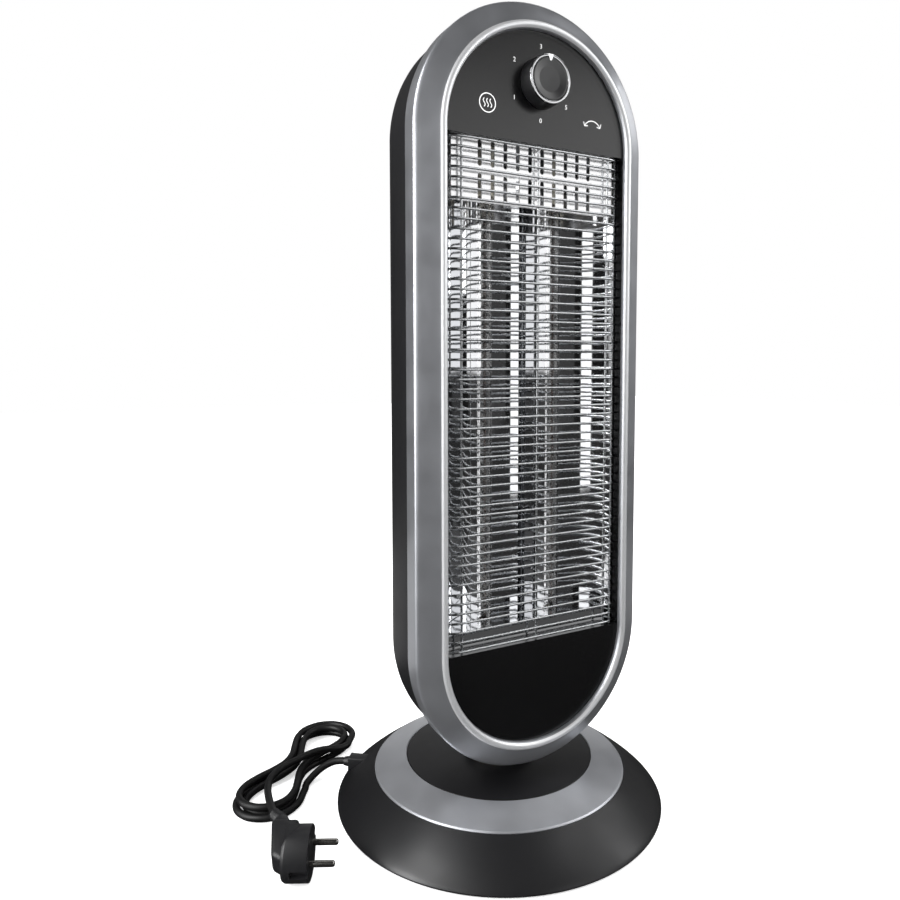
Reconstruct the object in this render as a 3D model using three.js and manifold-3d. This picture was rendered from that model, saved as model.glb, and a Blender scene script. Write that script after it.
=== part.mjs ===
import * as THREE from 'three';
import { mergeVertices } from 'three/addons/utils/BufferGeometryUtils.js';
import Module from 'manifold-3d';

// Infrared heater: an oscillating tower head with two quartz tubes on a round base.
// Millimetres, +Z up. The head faces -Y at rest. The origin is the middle of the
// footprint, on the surface that the feet stand on.

const wasm = await Module();
wasm.setup();

// Shared clearances

const gap = 0.3; // between pieces that touch or seat on each other
const overrun = 5; // how far a cutting solid reaches past what it cuts
const wall = 2.5; // moulded shells and plates
const sheet = 1; // bright sheet metal

// Base

const baseRadius = 143.8;
const footHeight = 2.7;
const footWidth = 10;
const footHalfAngle = THREE.MathUtils.degToRad(16);
const rimFloor = 1.2; // the cover's lower edge, beside the feet and the bottom plate
const rimEdge = 2.2; // the cover's wall there, rounded outside
const rimWall = 3.2; // the dome's wall, measured level
const ringHeight = 29.7;
const deckRadius = 82.4;
const ringWidth = 28.6; // of the trim ring, from the deck's edge out
const deckHeight = 38.9;
const deckLip = 8.4; // how far the cover reaches under the deck
const ringProud = 0.6;
const ringThickness = 1.8;
const domePower = 1.2; // how full the dome's curve is
const ballastOuterRadius = 112;
const ballastWidth = 28;
const ballastHeight = 7;
const baseScrewCircle = 70;
const screwShank = 1.7;
const screwHead = 3.6;
const screwHeadHeight = 1.8;
const screwLength = 11;

// Swivel bearing and neck

const spindleRadius = 10;
const spindleBore = 6.5;
const spindleFoot = 24;
const bushWall = 3.4;
const bushLength = 7.9;
const bossWall = 5;
const washerInner = 13;
const washerOuter = 28;
const washerThickness = 1;
const collarLip = 31;
const collarNeck = 17.5;
const collarLipHeight = 3;
const collarFlare = 9; // height in which the lip narrows to the neck
const collarTop = 77; // inside the hollow of the head's rounded end
const flangeRadius = 12.5;
const neckBossRadius = 16;
const flangeThickness = 3;
const flangeHeight = 72;

// Oscillation drive

const crankOffset = 34; // from the spindle's axis to the motor's axis
const crankRadius = 20.4;
const motorRadius = 25;
const motorHeight = 16;
const motorBoreDepth = 11;
const shaftRadius = 3;
const crankThickness = 2.9;
const crankHub = 7;
const crankEnd = 4.8;
const crankPinRadius = 2.5;
const crankPinLength = 5.9;
const leverThickness = 4;
const leverHub = 17;
const leverWidth = 16;
const leverReach = 62;
const slotPlay = 1.15; // beside the crank pin in the lever's slot
const slotStart = 32;
const slotEnd = 58.5;
const clipWall = 3.2;
const clipThickness = 1.7;

// Tip-over switch

const tipX = -52;
const tipY = -38;
const tipLength = 28;
const tipWidth = 16;
const tipHeight = 17.5;
const plungerRadius = 3;
const plungerHeadRadius = 5.2;
const plungerHeadHeight = 12;
const plungerHeadThickness = 2.5;
const plungerPlay = 0.5;
const tipFloor = 1.1;
const tipCeiling = 2.6;
const springWall = 1.3;

// Head outline: everything on it runs round a spine that stands between two centres

const headHalfWidth = 107.9;
const headBottom = 52.5;
const headTop = 669.9;
const panelFront = -61.5;
const headBack = 20.2;
const bezelBack = -39.8;
const bezelLip = 84.2;
const bezelCrest = -66.8; // foremost line of the bezel
const panelHalfWidth = 90.2;
const housingHalfWidth = 105.5;
const housingDraft = 1.2;
const housingRound = 30;
const headSteps = 14; // steps in each half circle
const roundSteps = 32; // steps round the base

// Heating bay

const bayHalfWidth = 84;
const bayFoot = 107; // from the head's lower end to the bay
const bayHead = 110.4; // from the bay to the head's upper end
const bayWall = 2.4;
const bayDepth = 10.6;
const tubeSpacing = 67.6;
const tubeY = -31.8;
const tubeRadius = 6;
const tubeBore = 4.8;
const tubeFoot = 2.5; // from the bay's lower end to the tubes' lower ends
const tubeInset = 19.3; // from the tubes' upper ends to the bay's upper end
const filamentRadius = 1.3;
const capRadius = 8.5;
const capOverlap = 19.7; // how much of a tube its upper holder takes
const troughDepthY = -13;
const troughCurve = 64.5; // a larger value makes a flatter trough
const troughReach = 82.9;
const troughSteps = 10;
const baffleBack = -10;
const shelfRise = 14.9; // from the bay's lower end to the polished shelf over the tubes' feet
const shelfFront = -52;
const shelfHalfWidth = 81.2;

// Guard and shield

const wireRadius = 1;
const wireFront = -60.3;
const wirePitch = 7.603;
const wireInset = 2.3; // from the bay's lower end to the first wire
const railOffset = 70;
const railSet = 1.5; // rails lie this far behind the wires
const wireBend = 75.5;
const wireReach = 82.7;
const shieldHalfWidth = 77;
const shieldFront = -55.6;
const shieldHeight = 48.8;
const shieldReturn = 4.2;
const shieldSlotWidth = 3.6;
const shieldSlotHeight = 20.6;
const shieldSlotPitch = 11.57;
const shieldColumns = 10;
const shieldEdge = 1.9; // from the shield's lower edge to its first slots
const shieldRowGap = 5.2;

// Dial

const dialDrop = 63.4; // from the head's upper end
const knobRadius = 19.5;
const knobFaceRadius = 18.75;
const knobDepth = 13.6;
const knobDish = 1.6;
const knobDishShares = [0.6, 0.8]; // of the face's radius and of the dish's depth
const knobRingWidth = 2.2;
const knobRingThickness = 1.2;
const knobSteps = 20;
const shaftHole = 4.2;
const switchSide = 32;
const switchDepth = 28;
const shaftInSwitch = 14;

// Rear shell

const ventWidth = 46;
const ventHeight = 4.5;
const ventPitch = 14;
const ventRows = 5;
const ventColumnOffset = 34;
const ventInset = 78; // from the head's ends to the first row of air slots
const rearScrewOffset = 55;
const rearScrewInset = 62;

// Wiring inside

const terminalWidth = 40;
const terminalDepth = 14;
const terminalHeight = 16;
const terminalFloor = 100;
const cutoutRadius = 8;
const cutoutHeight = 10;
const cutoutX = 58;
const innerLeadRadius = 2.6;
const switchLeadRadius = 2;
const leadSides = 6;
const leadJoint = 22; // height at which the base's lead meets the head's

// Mains cord, gland and plug

const cordDiameter = 6.3;
const cordSides = 8;
const cordLift = 0.05; // of the lowest loops above the floor
const hankX = -149.5;
const hankY = 118.4;
const hankAngle = THREE.MathUtils.degToRad(43.5);
const hankTurns = 3;
const hankStart = 0.0875; // turns
const hankEnd = 2.865; // turns
const hankHalfLength = 70; // innermost loop
const hankLengthStep = 8; // each turn outwards
const hankFold = 17.8; // radius of the innermost folds
const hankWaist = 3.4; // half the innermost loop's width at the waist
const hankStep = 7.6; // each turn outwards, beside the one before
const layerGap = 0.7;
const runShare = 0.14; // share of a turn from the waist to a fold
const loopSteps = 24;
const glandAzimuth = THREE.MathUtils.degToRad(141);
const glandSide = 11.5;
const glandInset = 22.8; // from the base's edge in to the gland's inner end
const glandLength = 19.5;
const glandHeight = 14.8;
const noseLength = 5.2;
const noseRadius = 4.6;
const noseTipRadius = 3.8;
const plugRadius = 19.75;
const plugDepth = 20;
const plugBackDepth = 34;
const plugBackHalf = 10;
const plugRound = 2;
const plugEdge = 0.5;
const plugX = -184.4;
const plugY = -32.4;
const plugHeading = THREE.MathUtils.degToRad(-28);
const plugTilt = THREE.MathUtils.degToRad(15);
const pinRadius = 2.4;
const pinLength = 19;
const pinSpacing = 19;
const pinSeat = 4;
const pinTipShares = [[0.75, 0.3], [0.35, 0]]; // of the pin's radius: across, and back from its tip
const notchWidth = 6.4;
const notchDepth = 3.4;
const notchLength = 13;
const bootRadius = 7;
const bootTipRadius = 4.5;
const bootRibs = 8;
const bootRibDepth = 0.9;
const bootCollar = 2; // straight start of the boot on the plug
const bootReach = 11; // how far the boot follows each end before it bends

// Derived sizes of the base

const plateFloor = footHeight + gap;
const plateTop = plateFloor + wall;
const domeFloor = rimFloor + rimEdge;
const rimInside = baseRadius - rimWall;
const innerFloor = plateTop + gap;
const ballastInnerRadius = ballastOuterRadius - ballastWidth;
const glandInner = baseRadius - glandInset;
const ringRadius = deckRadius + ringWidth;
const ringInnerRadius = deckRadius + gap;
const ringSlope = (deckHeight - ringHeight) / (ringRadius - ringInnerRadius);
const ringBelow = ringThickness - ringProud;
const deckFloor = deckHeight - wall;
const boreRadius = spindleRadius + gap;
const bushRadius = boreRadius + bushWall;
const bushFloor = deckHeight - bushLength;
const washerFloor = deckHeight + gap;
const collarFloor = washerFloor + washerThickness + gap;
const motorTop = innerFloor + motorHeight;
const crankFloor = motorTop + gap;
const crankTop = crankFloor + crankThickness;
const pinFloor = crankTop + gap;
const clipFloor = spindleFoot + gap;
const leverFloor = clipFloor + clipThickness + gap;

// Derived sizes of the head

const headLowCentre = headBottom + headHalfWidth;
const headTopCentre = headTop - headHalfWidth;
const panelBack = panelFront + wall;
const bayBottom = headBottom + bayFoot;
const bayTop = headTop - bayHead;
const dialHeight = headTop - dialDrop;
const wireFirst = bayBottom + wireInset;
const wireCount = 1 + Math.floor((bayTop - wireRadius - gap - wireFirst) / wirePitch);
const housingFront = bezelBack + gap;
const housingArcX = housingHalfWidth - housingDraft - housingRound;
const housingArcY = headBack - housingRound;
const housingInnerBack = headBack - wall;
const bayBack = panelFront + bayDepth;
const tubeX = tubeSpacing / 2;
const tubeBottom = bayBottom + tubeFoot;
const tubeTop = bayTop - tubeInset;
const shelfTop = bayBottom + shelfRise;
const shieldTop = bayTop - gap;
const shieldBottom = shieldTop - shieldHeight;
const dialFace = panelFront - gap - knobDepth;

// Finishes

const silverPaint = { color: 0x8d8d90, roughness: 0.38, metalness: 0.55 };
const satinBlack = { color: 0x1b1b1d, roughness: 0.45, metalness: 0 };
const glossBlack = { color: 0x08080a, roughness: 0.08, metalness: 0 };
const rubberBlack = { color: 0x121212, roughness: 0.85, metalness: 0 };
const chromeWire = { color: 0xd9dadb, roughness: 0.12, metalness: 1 };
const polishedSheet = { color: 0xe6e6e6, roughness: 0.1, metalness: 1 };
const plainSteel = { color: 0x9b9da0, roughness: 0.4, metalness: 1 };
const quartzGlass = { color: 0xf2efe8, roughness: 0.05, metalness: 0 };
const heatingWire = { color: 0x6b4a3a, roughness: 0.6, metalness: 0.8 };
const ceramic = { color: 0xe9e6dc, roughness: 0.55, metalness: 0 };
const bronze = { color: 0xa97c47, roughness: 0.4, metalness: 1 };
const nylon = { color: 0xd8d6cf, roughness: 0.5, metalness: 0 };

const heater = new THREE.Group();

// Geometry helpers

function signedVolume(geometry) {
  const { position } = geometry.attributes;
  const { index } = geometry;
  const corner = [new THREE.Vector3(), new THREE.Vector3(), new THREE.Vector3()];
  let volume = 0;
  for (let i = 0; i < index.count; i += 3) {
    corner.forEach((point, k) => point.fromBufferAttribute(position, index.getX(i + k)));
    volume += corner[0].dot(corner[1].cross(corner[2])) / 6;
  }
  return volume;
}

// One closed body: shared corners, no flat triangles, faces outwards
function closed(geometry) {
  const bare = new THREE.BufferGeometry();
  bare.setAttribute('position', geometry.attributes.position.clone());
  bare.setIndex(geometry.index ? geometry.index.clone() : null);
  const merged = mergeVertices(bare, 1e-4);
  const kept = [];
  for (let i = 0; i < merged.index.count; i += 3) {
    const [a, b, c] = [merged.index.getX(i), merged.index.getX(i + 1), merged.index.getX(i + 2)];
    if (a !== b && b !== c && c !== a) {
      kept.push(a, b, c);
    }
  }
  merged.setIndex(kept);
  if (signedVolume(merged) < 0) {
    merged.setIndex(kept.slice().reverse());
  }
  return merged;
}

function toSolid(geometry) {
  const body = closed(geometry);
  const vertProperties = new Float32Array(body.attributes.position.array);
  const triVerts = new Uint32Array(body.index.array);
  return new wasm.Manifold(new wasm.Mesh({ numProp: 3, vertProperties, triVerts }));
}

function fromSolid(solid) {
  const { vertProperties, triVerts } = solid.getMesh();
  const geometry = new THREE.BufferGeometry();
  geometry.setAttribute('position', new THREE.BufferAttribute(new Float32Array(vertProperties), 3));
  geometry.setIndex(Array.from(triVerts));
  return geometry;
}

function join(...geometries) {
  return fromSolid(geometries.map(toSolid).reduce((sum, solid) => sum.add(solid)));
}

function cut(geometry, ...tools) {
  return fromSolid(tools.map(toSolid).reduce((rest, tool) => rest.subtract(tool), toSolid(geometry)));
}

// A profile of [radius, y] points turned about the Y axis, and the same about the Z axis
function turned(profile, steps) {
  return new THREE.LatheGeometry(profile.map(([r, y]) => new THREE.Vector2(r, y)), steps);
}

function revolved(profile, steps = 24) {
  return turned(profile, steps).rotateX(Math.PI / 2);
}

function tubeRing(inner, outer, floor, top, steps = 16) {
  return revolved([[inner, floor], [outer, floor], [outer, top], [inner, top], [inner, floor]], steps);
}

function rod(radius, floor, top, steps = 20) {
  const geometry = new THREE.CylinderGeometry(radius, radius, top - floor, steps);
  return geometry.rotateX(Math.PI / 2).translate(0, 0, (floor + top) / 2);
}

function rodAlongY(radius, front, back, steps = 20) {
  const geometry = new THREE.CylinderGeometry(radius, radius, back - front, steps);
  return geometry.translate(0, (front + back) / 2, 0);
}

function block([x0, x1], [y0, y1], [z0, z1]) {
  const geometry = new THREE.BoxGeometry(x1 - x0, y1 - y0, z1 - z0);
  return geometry.translate((x0 + x1) / 2, (y0 + y1) / 2, (z0 + z1) / 2);
}

// A prism of an outline in x and y, from a floor up to a top
function prism(shape, floor, top, curveSegments = 12) {
  const settings = { depth: top - floor, bevelEnabled: false, curveSegments };
  return new THREE.ExtrudeGeometry(shape, settings).translate(0, 0, floor);
}

// The same with the outline standing in x and z, between two places along Y
function standingPrism(shape, front, back, curveSegments = 12) {
  return prism(shape, 0, back - front, curveSegments).rotateX(Math.PI / 2).translate(0, back, 0);
}

function outline(points) {
  return new THREE.Shape(points.map(([x, y]) => new THREE.Vector2(x, y)));
}

// A slot with round ends, along x when it is wide and along y when it is tall
function slotOutline(x, y, width, height, Kind = THREE.Shape) {
  const radius = Math.min(width, height) / 2;
  const runX = width / 2 - radius;
  const runY = height / 2 - radius;
  const turn = runX > 0 ? Math.PI / 2 : 0;
  const shape = new Kind();
  shape.absarc(x - runX, y + runY, radius, turn, turn + Math.PI, false);
  shape.absarc(x + runX, y - runY, radius, turn + Math.PI, turn + 2 * Math.PI, false);
  shape.closePath();
  return shape;
}

// Rings of points joined by a skin, with flat ends unless the rings close on themselves
function skin(rings, wrapRings, wrapSection) {
  const count = rings[0].length;
  const index = [];
  const lastRing = wrapRings ? rings.length : rings.length - 1;
  const lastPoint = wrapSection ? count : count - 1;
  for (let i = 0; i < lastRing; i++) {
    const next = (i + 1) % rings.length;
    for (let j = 0; j < lastPoint; j++) {
      const side = (j + 1) % count;
      index.push(i * count + j, next * count + j, next * count + side);
      index.push(i * count + j, next * count + side, i * count + side);
    }
  }
  if (!wrapRings) {
    const last = (rings.length - 1) * count;
    for (let j = 1; j < count - 1; j++) {
      index.push(0, j, j + 1);
      index.push(last, last + j + 1, last + j);
    }
  }
  const geometry = new THREE.BufferGeometry();
  geometry.setAttribute('position', new THREE.Float32BufferAttribute(rings.flat(2), 3));
  geometry.setIndex(index);
  return geometry;
}

// A profile of [distance from the spine, y] points swept round the head's outline.
// A profile that starts and ends on the spine is filled across it.
function aroundHead(profile) {
  const rings = [];
  for (const [centre, from] of [[headTopCentre, 0], [headLowCentre, Math.PI]]) {
    for (let i = 0; i <= headSteps; i++) {
      const angle = from + (Math.PI * i) / headSteps;
      const point = ([w, y]) => [w * Math.cos(angle), y, centre + w * Math.sin(angle)];
      rings.push(profile.map(point));
    }
  }
  return skin(rings, true, profile[0][0] !== 0);
}

function toVectors(list) {
  return list.map((point) => new THREE.Vector3(...point));
}

function curveThrough(points) {
  return new THREE.CatmullRomCurve3(points, false, 'centripetal');
}

// A lead along a smooth curve
function lead(points, radius, sides, steps) {
  const section = [];
  for (let i = 0; i < sides; i++) {
    const angle = (2 * Math.PI * i) / sides;
    section.push([radius * Math.cos(angle), radius * Math.sin(angle)]);
  }
  const settings = { steps, bevelEnabled: false, extrudePath: curveThrough(points) };
  return new THREE.ExtrudeGeometry(outline(section), settings);
}

// A wound or ribbed tube: rings of points square to a path, one radius for each
function woundTube(path, radii, sides) {
  const direction = (i) => {
    const before = path[Math.max(i - 1, 0)];
    const after = path[Math.min(i + 1, path.length - 1)];
    return after.clone().sub(before).normalize();
  };
  const upright = Math.abs(direction(0).z) > Math.SQRT1_2;
  const across = upright ? new THREE.Vector3(0, 1, 0) : new THREE.Vector3(0, 0, 1);
  const rings = path.map((centre, i) => {
    const along = direction(i);
    across.addScaledVector(along, -across.dot(along)).normalize();
    const beside = along.clone().cross(across);
    const ring = [];
    for (let k = 0; k < sides; k++) {
      const angle = (2 * Math.PI * k) / sides;
      const point = centre.clone();
      point.addScaledVector(across, radii[i] * Math.cos(angle));
      point.addScaledVector(beside, radii[i] * Math.sin(angle));
      ring.push(point.toArray());
    }
    return ring;
  });
  return skin(rings, false, true);
}

function add(name, geometry, finish) {
  const mesh = new THREE.Mesh(closed(geometry), new THREE.MeshStandardMaterial(finish));
  mesh.name = name;
  heater.add(mesh);
  return mesh;
}

// Base shell

function domeRadius(height) {
  const rise = (height - domeFloor) / (ringHeight - domeFloor);
  return ringRadius + (baseRadius - ringRadius) * (1 - rise ** domePower);
}

function ringSurface(radius) {
  return ringHeight + (ringRadius - radius) * ringSlope;
}

function coverProfile() {
  const domeSteps = 4;
  const heights = [];
  for (let i = 1; i <= domeSteps; i++) {
    heights.push(domeFloor + ((ringHeight - gap - domeFloor) * i) / domeSteps);
  }
  const rim = [0, 1, 2].map((i) => {
    const angle = (Math.PI / 4) * (i - 2);
    return [
      baseRadius + rimEdge * (Math.cos(angle) - 1),
      domeFloor + rimEdge * Math.sin(angle),
    ];
  });
  const seatOuter = ringRadius + gap;
  const seatInner = ringInnerRadius + gap;
  const seatDrop = ringBelow + gap;
  const lipRadius = deckRadius - deckLip;
  const lipTop = deckFloor - gap;
  const outer = heights.map((height) => [Math.max(domeRadius(height), seatOuter), height]);
  const inner = heights.slice(0, -2).reverse().map((height) => [domeRadius(height) - rimWall, height]);
  return [
    ...rim,
    ...outer,
    [seatOuter, ringSurface(seatOuter) - seatDrop],
    [seatInner, ringSurface(seatInner) - seatDrop],
    [seatInner, lipTop],
    [lipRadius, lipTop],
    [lipRadius, lipTop - wall],
    [seatInner, lipTop - wall],
    [seatOuter - wall, ringSurface(seatOuter) - seatDrop - wall],
    ...inner,
    [rimInside, plateTop + gap],
    [rimInside, rimFloor],
    rim[0],
  ];
}

function glandBlock(margin, inner, outer) {
  const half = glandSide / 2 + margin;
  const shape = block([inner, outer], [-half, half], [glandHeight - half, glandHeight + half]);
  return shape.rotateZ(glandAzimuth);
}

add('base_cover', cut(
  revolved(coverProfile(), roundSteps),
  glandBlock(gap, glandInner - overrun, baseRadius + overrun),
), satinBlack);

const ringChamfer = 1.2;
add('trim_ring', revolved([
  [ringInnerRadius, ringSurface(ringInnerRadius) - ringBelow],
  [ringRadius, ringHeight - ringBelow],
  [ringRadius, ringHeight],
  [ringRadius - ringChamfer, ringSurface(ringRadius - ringChamfer) + ringProud],
  [ringInnerRadius + ringProud, ringSurface(ringInnerRadius + ringProud) + ringProud],
  [ringInnerRadius, ringSurface(ringInnerRadius)],
  [ringInnerRadius, ringSurface(ringInnerRadius) - ringBelow],
], roundSteps), silverPaint);

const deckBore = bushRadius + gap;
add('base_deck', revolved([
  [deckBore, deckHeight],
  [deckBore, bushFloor],
  [deckBore + bossWall, bushFloor],
  [deckBore + bossWall, deckFloor],
  [deckRadius, deckFloor],
  [deckRadius, deckHeight - ringProud],
  [deckRadius - ringProud, deckHeight],
  [deckBore, deckHeight],
], roundSteps), satinBlack);

const screwPlaces = [0, 1, 2].map((i) => {
  const angle = (2 * Math.PI * i) / 3 + Math.PI / 2 + Math.PI / 3;
  return [baseScrewCircle * Math.cos(angle), baseScrewCircle * Math.sin(angle)];
});

add('bottom_plate', cut(
  revolved([
    [0, plateFloor],
    [rimInside - gap, plateFloor],
    [rimInside - gap, plateTop],
    [0, plateTop],
  ], roundSteps),
  rod(plungerRadius + plungerPlay, plateFloor - overrun, plateTop + overrun).translate(tipX, tipY, 0),
  ...screwPlaces.map(([x, y]) => (
    rod(screwShank + gap, plateFloor - overrun, plateTop + overrun, 12).translate(x, y, 0)
  )),
), plainSteel);

const screwSides = 8;
const baseScrewTip = plateFloor - gap - screwHeadHeight + screwLength;
screwPlaces.forEach(([x, y], i) => {
  const headFloor = plateFloor - gap - screwHeadHeight;
  add(`base_screw_${i + 1}`, revolved([
    [0, headFloor],
    [screwHead, headFloor],
    [screwHead, headFloor + screwHeadHeight],
    [screwShank, headFloor + screwHeadHeight],
    [screwShank, baseScrewTip],
    [0, baseScrewTip],
  ], screwSides).translate(x, y, 0), plainSteel);
});

const footNames = { foot_right: 0, foot_rear: 1, foot_left: 2, foot_front: 3 };
for (const [name, quarter] of Object.entries(footNames)) {
  const middle = (quarter * Math.PI) / 2;
  const outer = rimInside * Math.cos(Math.PI / roundSteps) - gap;
  const shape = new THREE.Shape();
  shape.absarc(0, 0, outer, middle - footHalfAngle, middle + footHalfAngle, false);
  shape.absarc(0, 0, outer - footWidth, middle + footHalfAngle, middle - footHalfAngle, true);
  shape.closePath();
  add(name, prism(shape, 0, footHeight, 5), rubberBlack);
}

add('ballast_ring', tubeRing(
  ballastInnerRadius,
  ballastOuterRadius,
  innerFloor,
  innerFloor + ballastHeight,
), plainSteel);

// Swivel bearing

add('bearing_bush', tubeRing(boreRadius, bushRadius, bushFloor, deckHeight), bronze);
add('thrust_washer', tubeRing(washerInner, washerOuter, washerFloor, washerFloor + washerThickness), nylon);

const spindleTop = flangeHeight + flangeThickness;
add('spindle', revolved([
  [spindleBore, spindleFoot],
  [spindleRadius, spindleFoot],
  [spindleRadius, flangeHeight],
  [flangeRadius, flangeHeight],
  [flangeRadius, spindleTop],
  [spindleBore, spindleTop],
  [spindleBore, spindleFoot],
], 20), plainSteel);

const clipTop = clipFloor + clipThickness;
add('spindle_clip', tubeRing(boreRadius, boreRadius + clipWall, clipFloor, clipTop), plainSteel);

function leverOutline() {
  const half = leverWidth / 2;
  const reach = leverReach - half;
  const meet = Math.sqrt(leverHub ** 2 - half ** 2);
  const hubAngle = Math.atan2(meet, half);
  const shape = new THREE.Shape();
  shape.absarc(0, reach, half, 0, Math.PI, false);
  shape.absarc(0, 0, leverHub, Math.PI - hubAngle, 2 * Math.PI + hubAngle, false);
  shape.closePath();
  const bore = new THREE.Path();
  bore.absarc(0, 0, boreRadius, 0, 2 * Math.PI, true);
  shape.holes.push(bore);
  const slotWidth = 2 * (crankPinRadius + slotPlay);
  shape.holes.push(slotOutline(0, (slotStart + slotEnd) / 2, slotWidth, slotEnd - slotStart, THREE.Path));
  return shape;
}
add('swing_lever', prism(leverOutline(), leverFloor, leverFloor + leverThickness, 9), plainSteel);

// Oscillation drive

add('swing_motor', cut(
  rod(motorRadius, innerFloor, motorTop, 24),
  rod(shaftRadius + gap, motorTop - motorBoreDepth, motorTop + overrun),
).translate(0, crankOffset, 0), plainSteel);

add('motor_shaft', rod(shaftRadius, motorTop - motorBoreDepth + gap, crankTop + 2 * gap)
  .translate(0, crankOffset, 0), plainSteel);

function crankOutline() {
  const shape = new THREE.Shape();
  shape.absarc(0, crankRadius, crankEnd, 0, Math.PI, false);
  shape.absarc(0, 0, crankHub, Math.PI, 2 * Math.PI, false);
  shape.closePath();
  const bore = new THREE.Path();
  bore.absarc(0, 0, shaftRadius + gap, 0, 2 * Math.PI, true);
  shape.holes.push(bore);
  return shape;
}
add('crank_arm', prism(crankOutline(), crankFloor, crankTop, 6).translate(0, crankOffset, 0), nylon);
add('crank_pin', rod(crankPinRadius, pinFloor, pinFloor + crankPinLength)
  .translate(0, crankOffset + crankRadius, 0), plainSteel);

// Tip-over switch

const tipTop = innerFloor + tipHeight;
const plungerHeadTop = plungerHeadHeight + plungerHeadThickness;
const tipBore = plungerHeadRadius + plungerPlay;
add('tip_switch', cut(
  block([-tipLength / 2, tipLength / 2], [-tipWidth / 2, tipWidth / 2], [innerFloor, tipTop]),
  rod(plungerRadius + plungerPlay, innerFloor - overrun, plungerHeadHeight),
  rod(tipBore, innerFloor + tipFloor, tipTop - tipCeiling),
).translate(tipX, tipY, 0), satinBlack);

add('tip_plunger', revolved([
  [0, 0],
  [plungerRadius, 0],
  [plungerRadius, plungerHeadHeight],
  [plungerHeadRadius, plungerHeadHeight],
  [plungerHeadRadius, plungerHeadTop],
  [0, plungerHeadTop],
], 12).translate(tipX, tipY, 0), nylon);

add('plunger_spring', tubeRing(
  plungerHeadRadius - springWall,
  plungerHeadRadius,
  plungerHeadTop + gap,
  tipTop - tipCeiling - gap,
  12,
).translate(tipX, tipY, 0), plainSteel);

// Head shells

function housingSide(distance, depth) {
  const points = [];
  const arcSteps = 3;
  for (let i = 0; i <= arcSteps; i++) {
    const angle = (Math.PI / 2) * (1 - i / arcSteps);
    const radius = housingRound - depth;
    points.push([housingArcX + radius * Math.cos(angle), housingArcY + radius * Math.sin(angle)]);
  }
  return [...points, [housingHalfWidth - depth, distance]];
}

function housingForm(depth, front) {
  return aroundHead([[0, headBack - depth], ...housingSide(front, depth), [0, front]]);
}

const shellProfile = [
  [0, headBack],
  ...housingSide(housingFront, 0),
  ...housingSide(housingFront, wall).reverse(),
  [0, housingInnerBack],
];

function ventPlaces() {
  const places = [];
  for (const [start, step] of [[headBottom + ventInset, ventPitch], [headTop - ventInset, -ventPitch]]) {
    for (let row = 0; row < ventRows; row++) {
      places.push([-ventColumnOffset, start + row * step], [ventColumnOffset, start + row * step]);
    }
  }
  return places;
}

const rearScrewPlaces = [-1, 1].map((side) => [side * rearScrewOffset, headBottom + rearScrewInset]);

const neckBoss = toSolid(rod(neckBossRadius, headBottom, flangeHeight - gap, 24));
const bossInShell = fromSolid(neckBoss.intersect(toSolid(housingForm(sheet, housingFront))));
add('rear_housing', cut(
  join(aroundHead(shellProfile), bossInShell),
  rod(boreRadius, headBottom - overrun, flangeHeight + overrun, 24),
  ...ventPlaces().map(([x, z]) => standingPrism(
    slotOutline(x, z, ventWidth, ventHeight),
    housingInnerBack - overrun,
    headBack + overrun,
    2,
  )),
  ...rearScrewPlaces.map(([x, z]) => rodAlongY(
    screwShank + gap,
    housingInnerBack - overrun,
    headBack + overrun,
    screwSides,
  ).translate(x, 0, z)),
), satinBlack);

rearScrewPlaces.forEach(([x, z], i) => {
  const headFace = headBack + gap;
  const tip = headFace + screwHeadHeight - screwLength;
  add(`rear_screw_${i + 1}`, turned([
    [0, tip],
    [screwShank, tip],
    [screwShank, headFace],
    [screwHead, headFace],
    [screwHead, headFace + screwHeadHeight],
    [0, headFace + screwHeadHeight],
  ], screwSides).translate(x, 0, z), plainSteel);
});

function collarProfile() {
  const flareSteps = 4;
  const flare = [];
  for (let i = 0; i <= flareSteps; i++) {
    const angle = (Math.PI / 2) * (i / flareSteps);
    flare.push([
      collarLip - (collarLip - collarNeck) * Math.sin(angle),
      collarFloor + collarLipHeight + collarFlare * (1 - Math.cos(angle)),
    ]);
  }
  return [
    [boreRadius, collarFloor],
    [collarLip, collarFloor],
    ...flare,
    [collarNeck, collarTop],
    [boreRadius, collarTop],
    [boreRadius, collarFloor],
  ];
}
add('neck_collar', cut(revolved(collarProfile()), housingForm(-gap, bezelBack - gap)), satinBlack);

// Bezel section: shares of its width from the lip out, and of its depth from the crest back
const bezelFaceShares = [
  [0.99, 1], [1, 0.5], [0.96, 0.41], [0.86, 0.355], [0.28, 0.07],
  [0.23, 0.02], [0.15, 0], [0.07, 0.025], [0.015, 0.095],
];
const bezelInsideShares = [[0.8, 0.43], [0.895, 0.52]];
function bezelPoint([across, back]) {
  return [
    bezelLip + across * (headHalfWidth - bezelLip),
    bezelCrest + back * (bezelBack - bezelCrest),
  ];
}
const bezelProfile = [
  ...bezelFaceShares.map(bezelPoint),
  [bezelLip, panelFront - gap],
  [panelHalfWidth + sheet, panelFront - gap],
  ...bezelInsideShares.map(bezelPoint),
  [headHalfWidth - wall, bezelBack],
];
add('bezel', aroundHead(bezelProfile), silverPaint);

const bayRangeX = [-bayHalfWidth - bayWall, bayHalfWidth + bayWall];
const bayRangeZ = [bayBottom - bayWall, bayTop + bayWall];
add('front_panel', cut(
  join(
    aroundHead([
      [0, panelFront],
      [panelHalfWidth, panelFront],
      [panelHalfWidth, panelBack],
      [0, panelBack],
    ]),
    block(bayRangeX, [panelFront + sheet, bayBack], bayRangeZ),
  ),
  block([-bayHalfWidth, bayHalfWidth], [panelFront - overrun, bayBack + overrun], [bayBottom, bayTop]),
  rodAlongY(shaftHole, panelFront - overrun, panelBack + overrun).translate(0, 0, dialHeight),
), glossBlack);

// Heating bay

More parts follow.
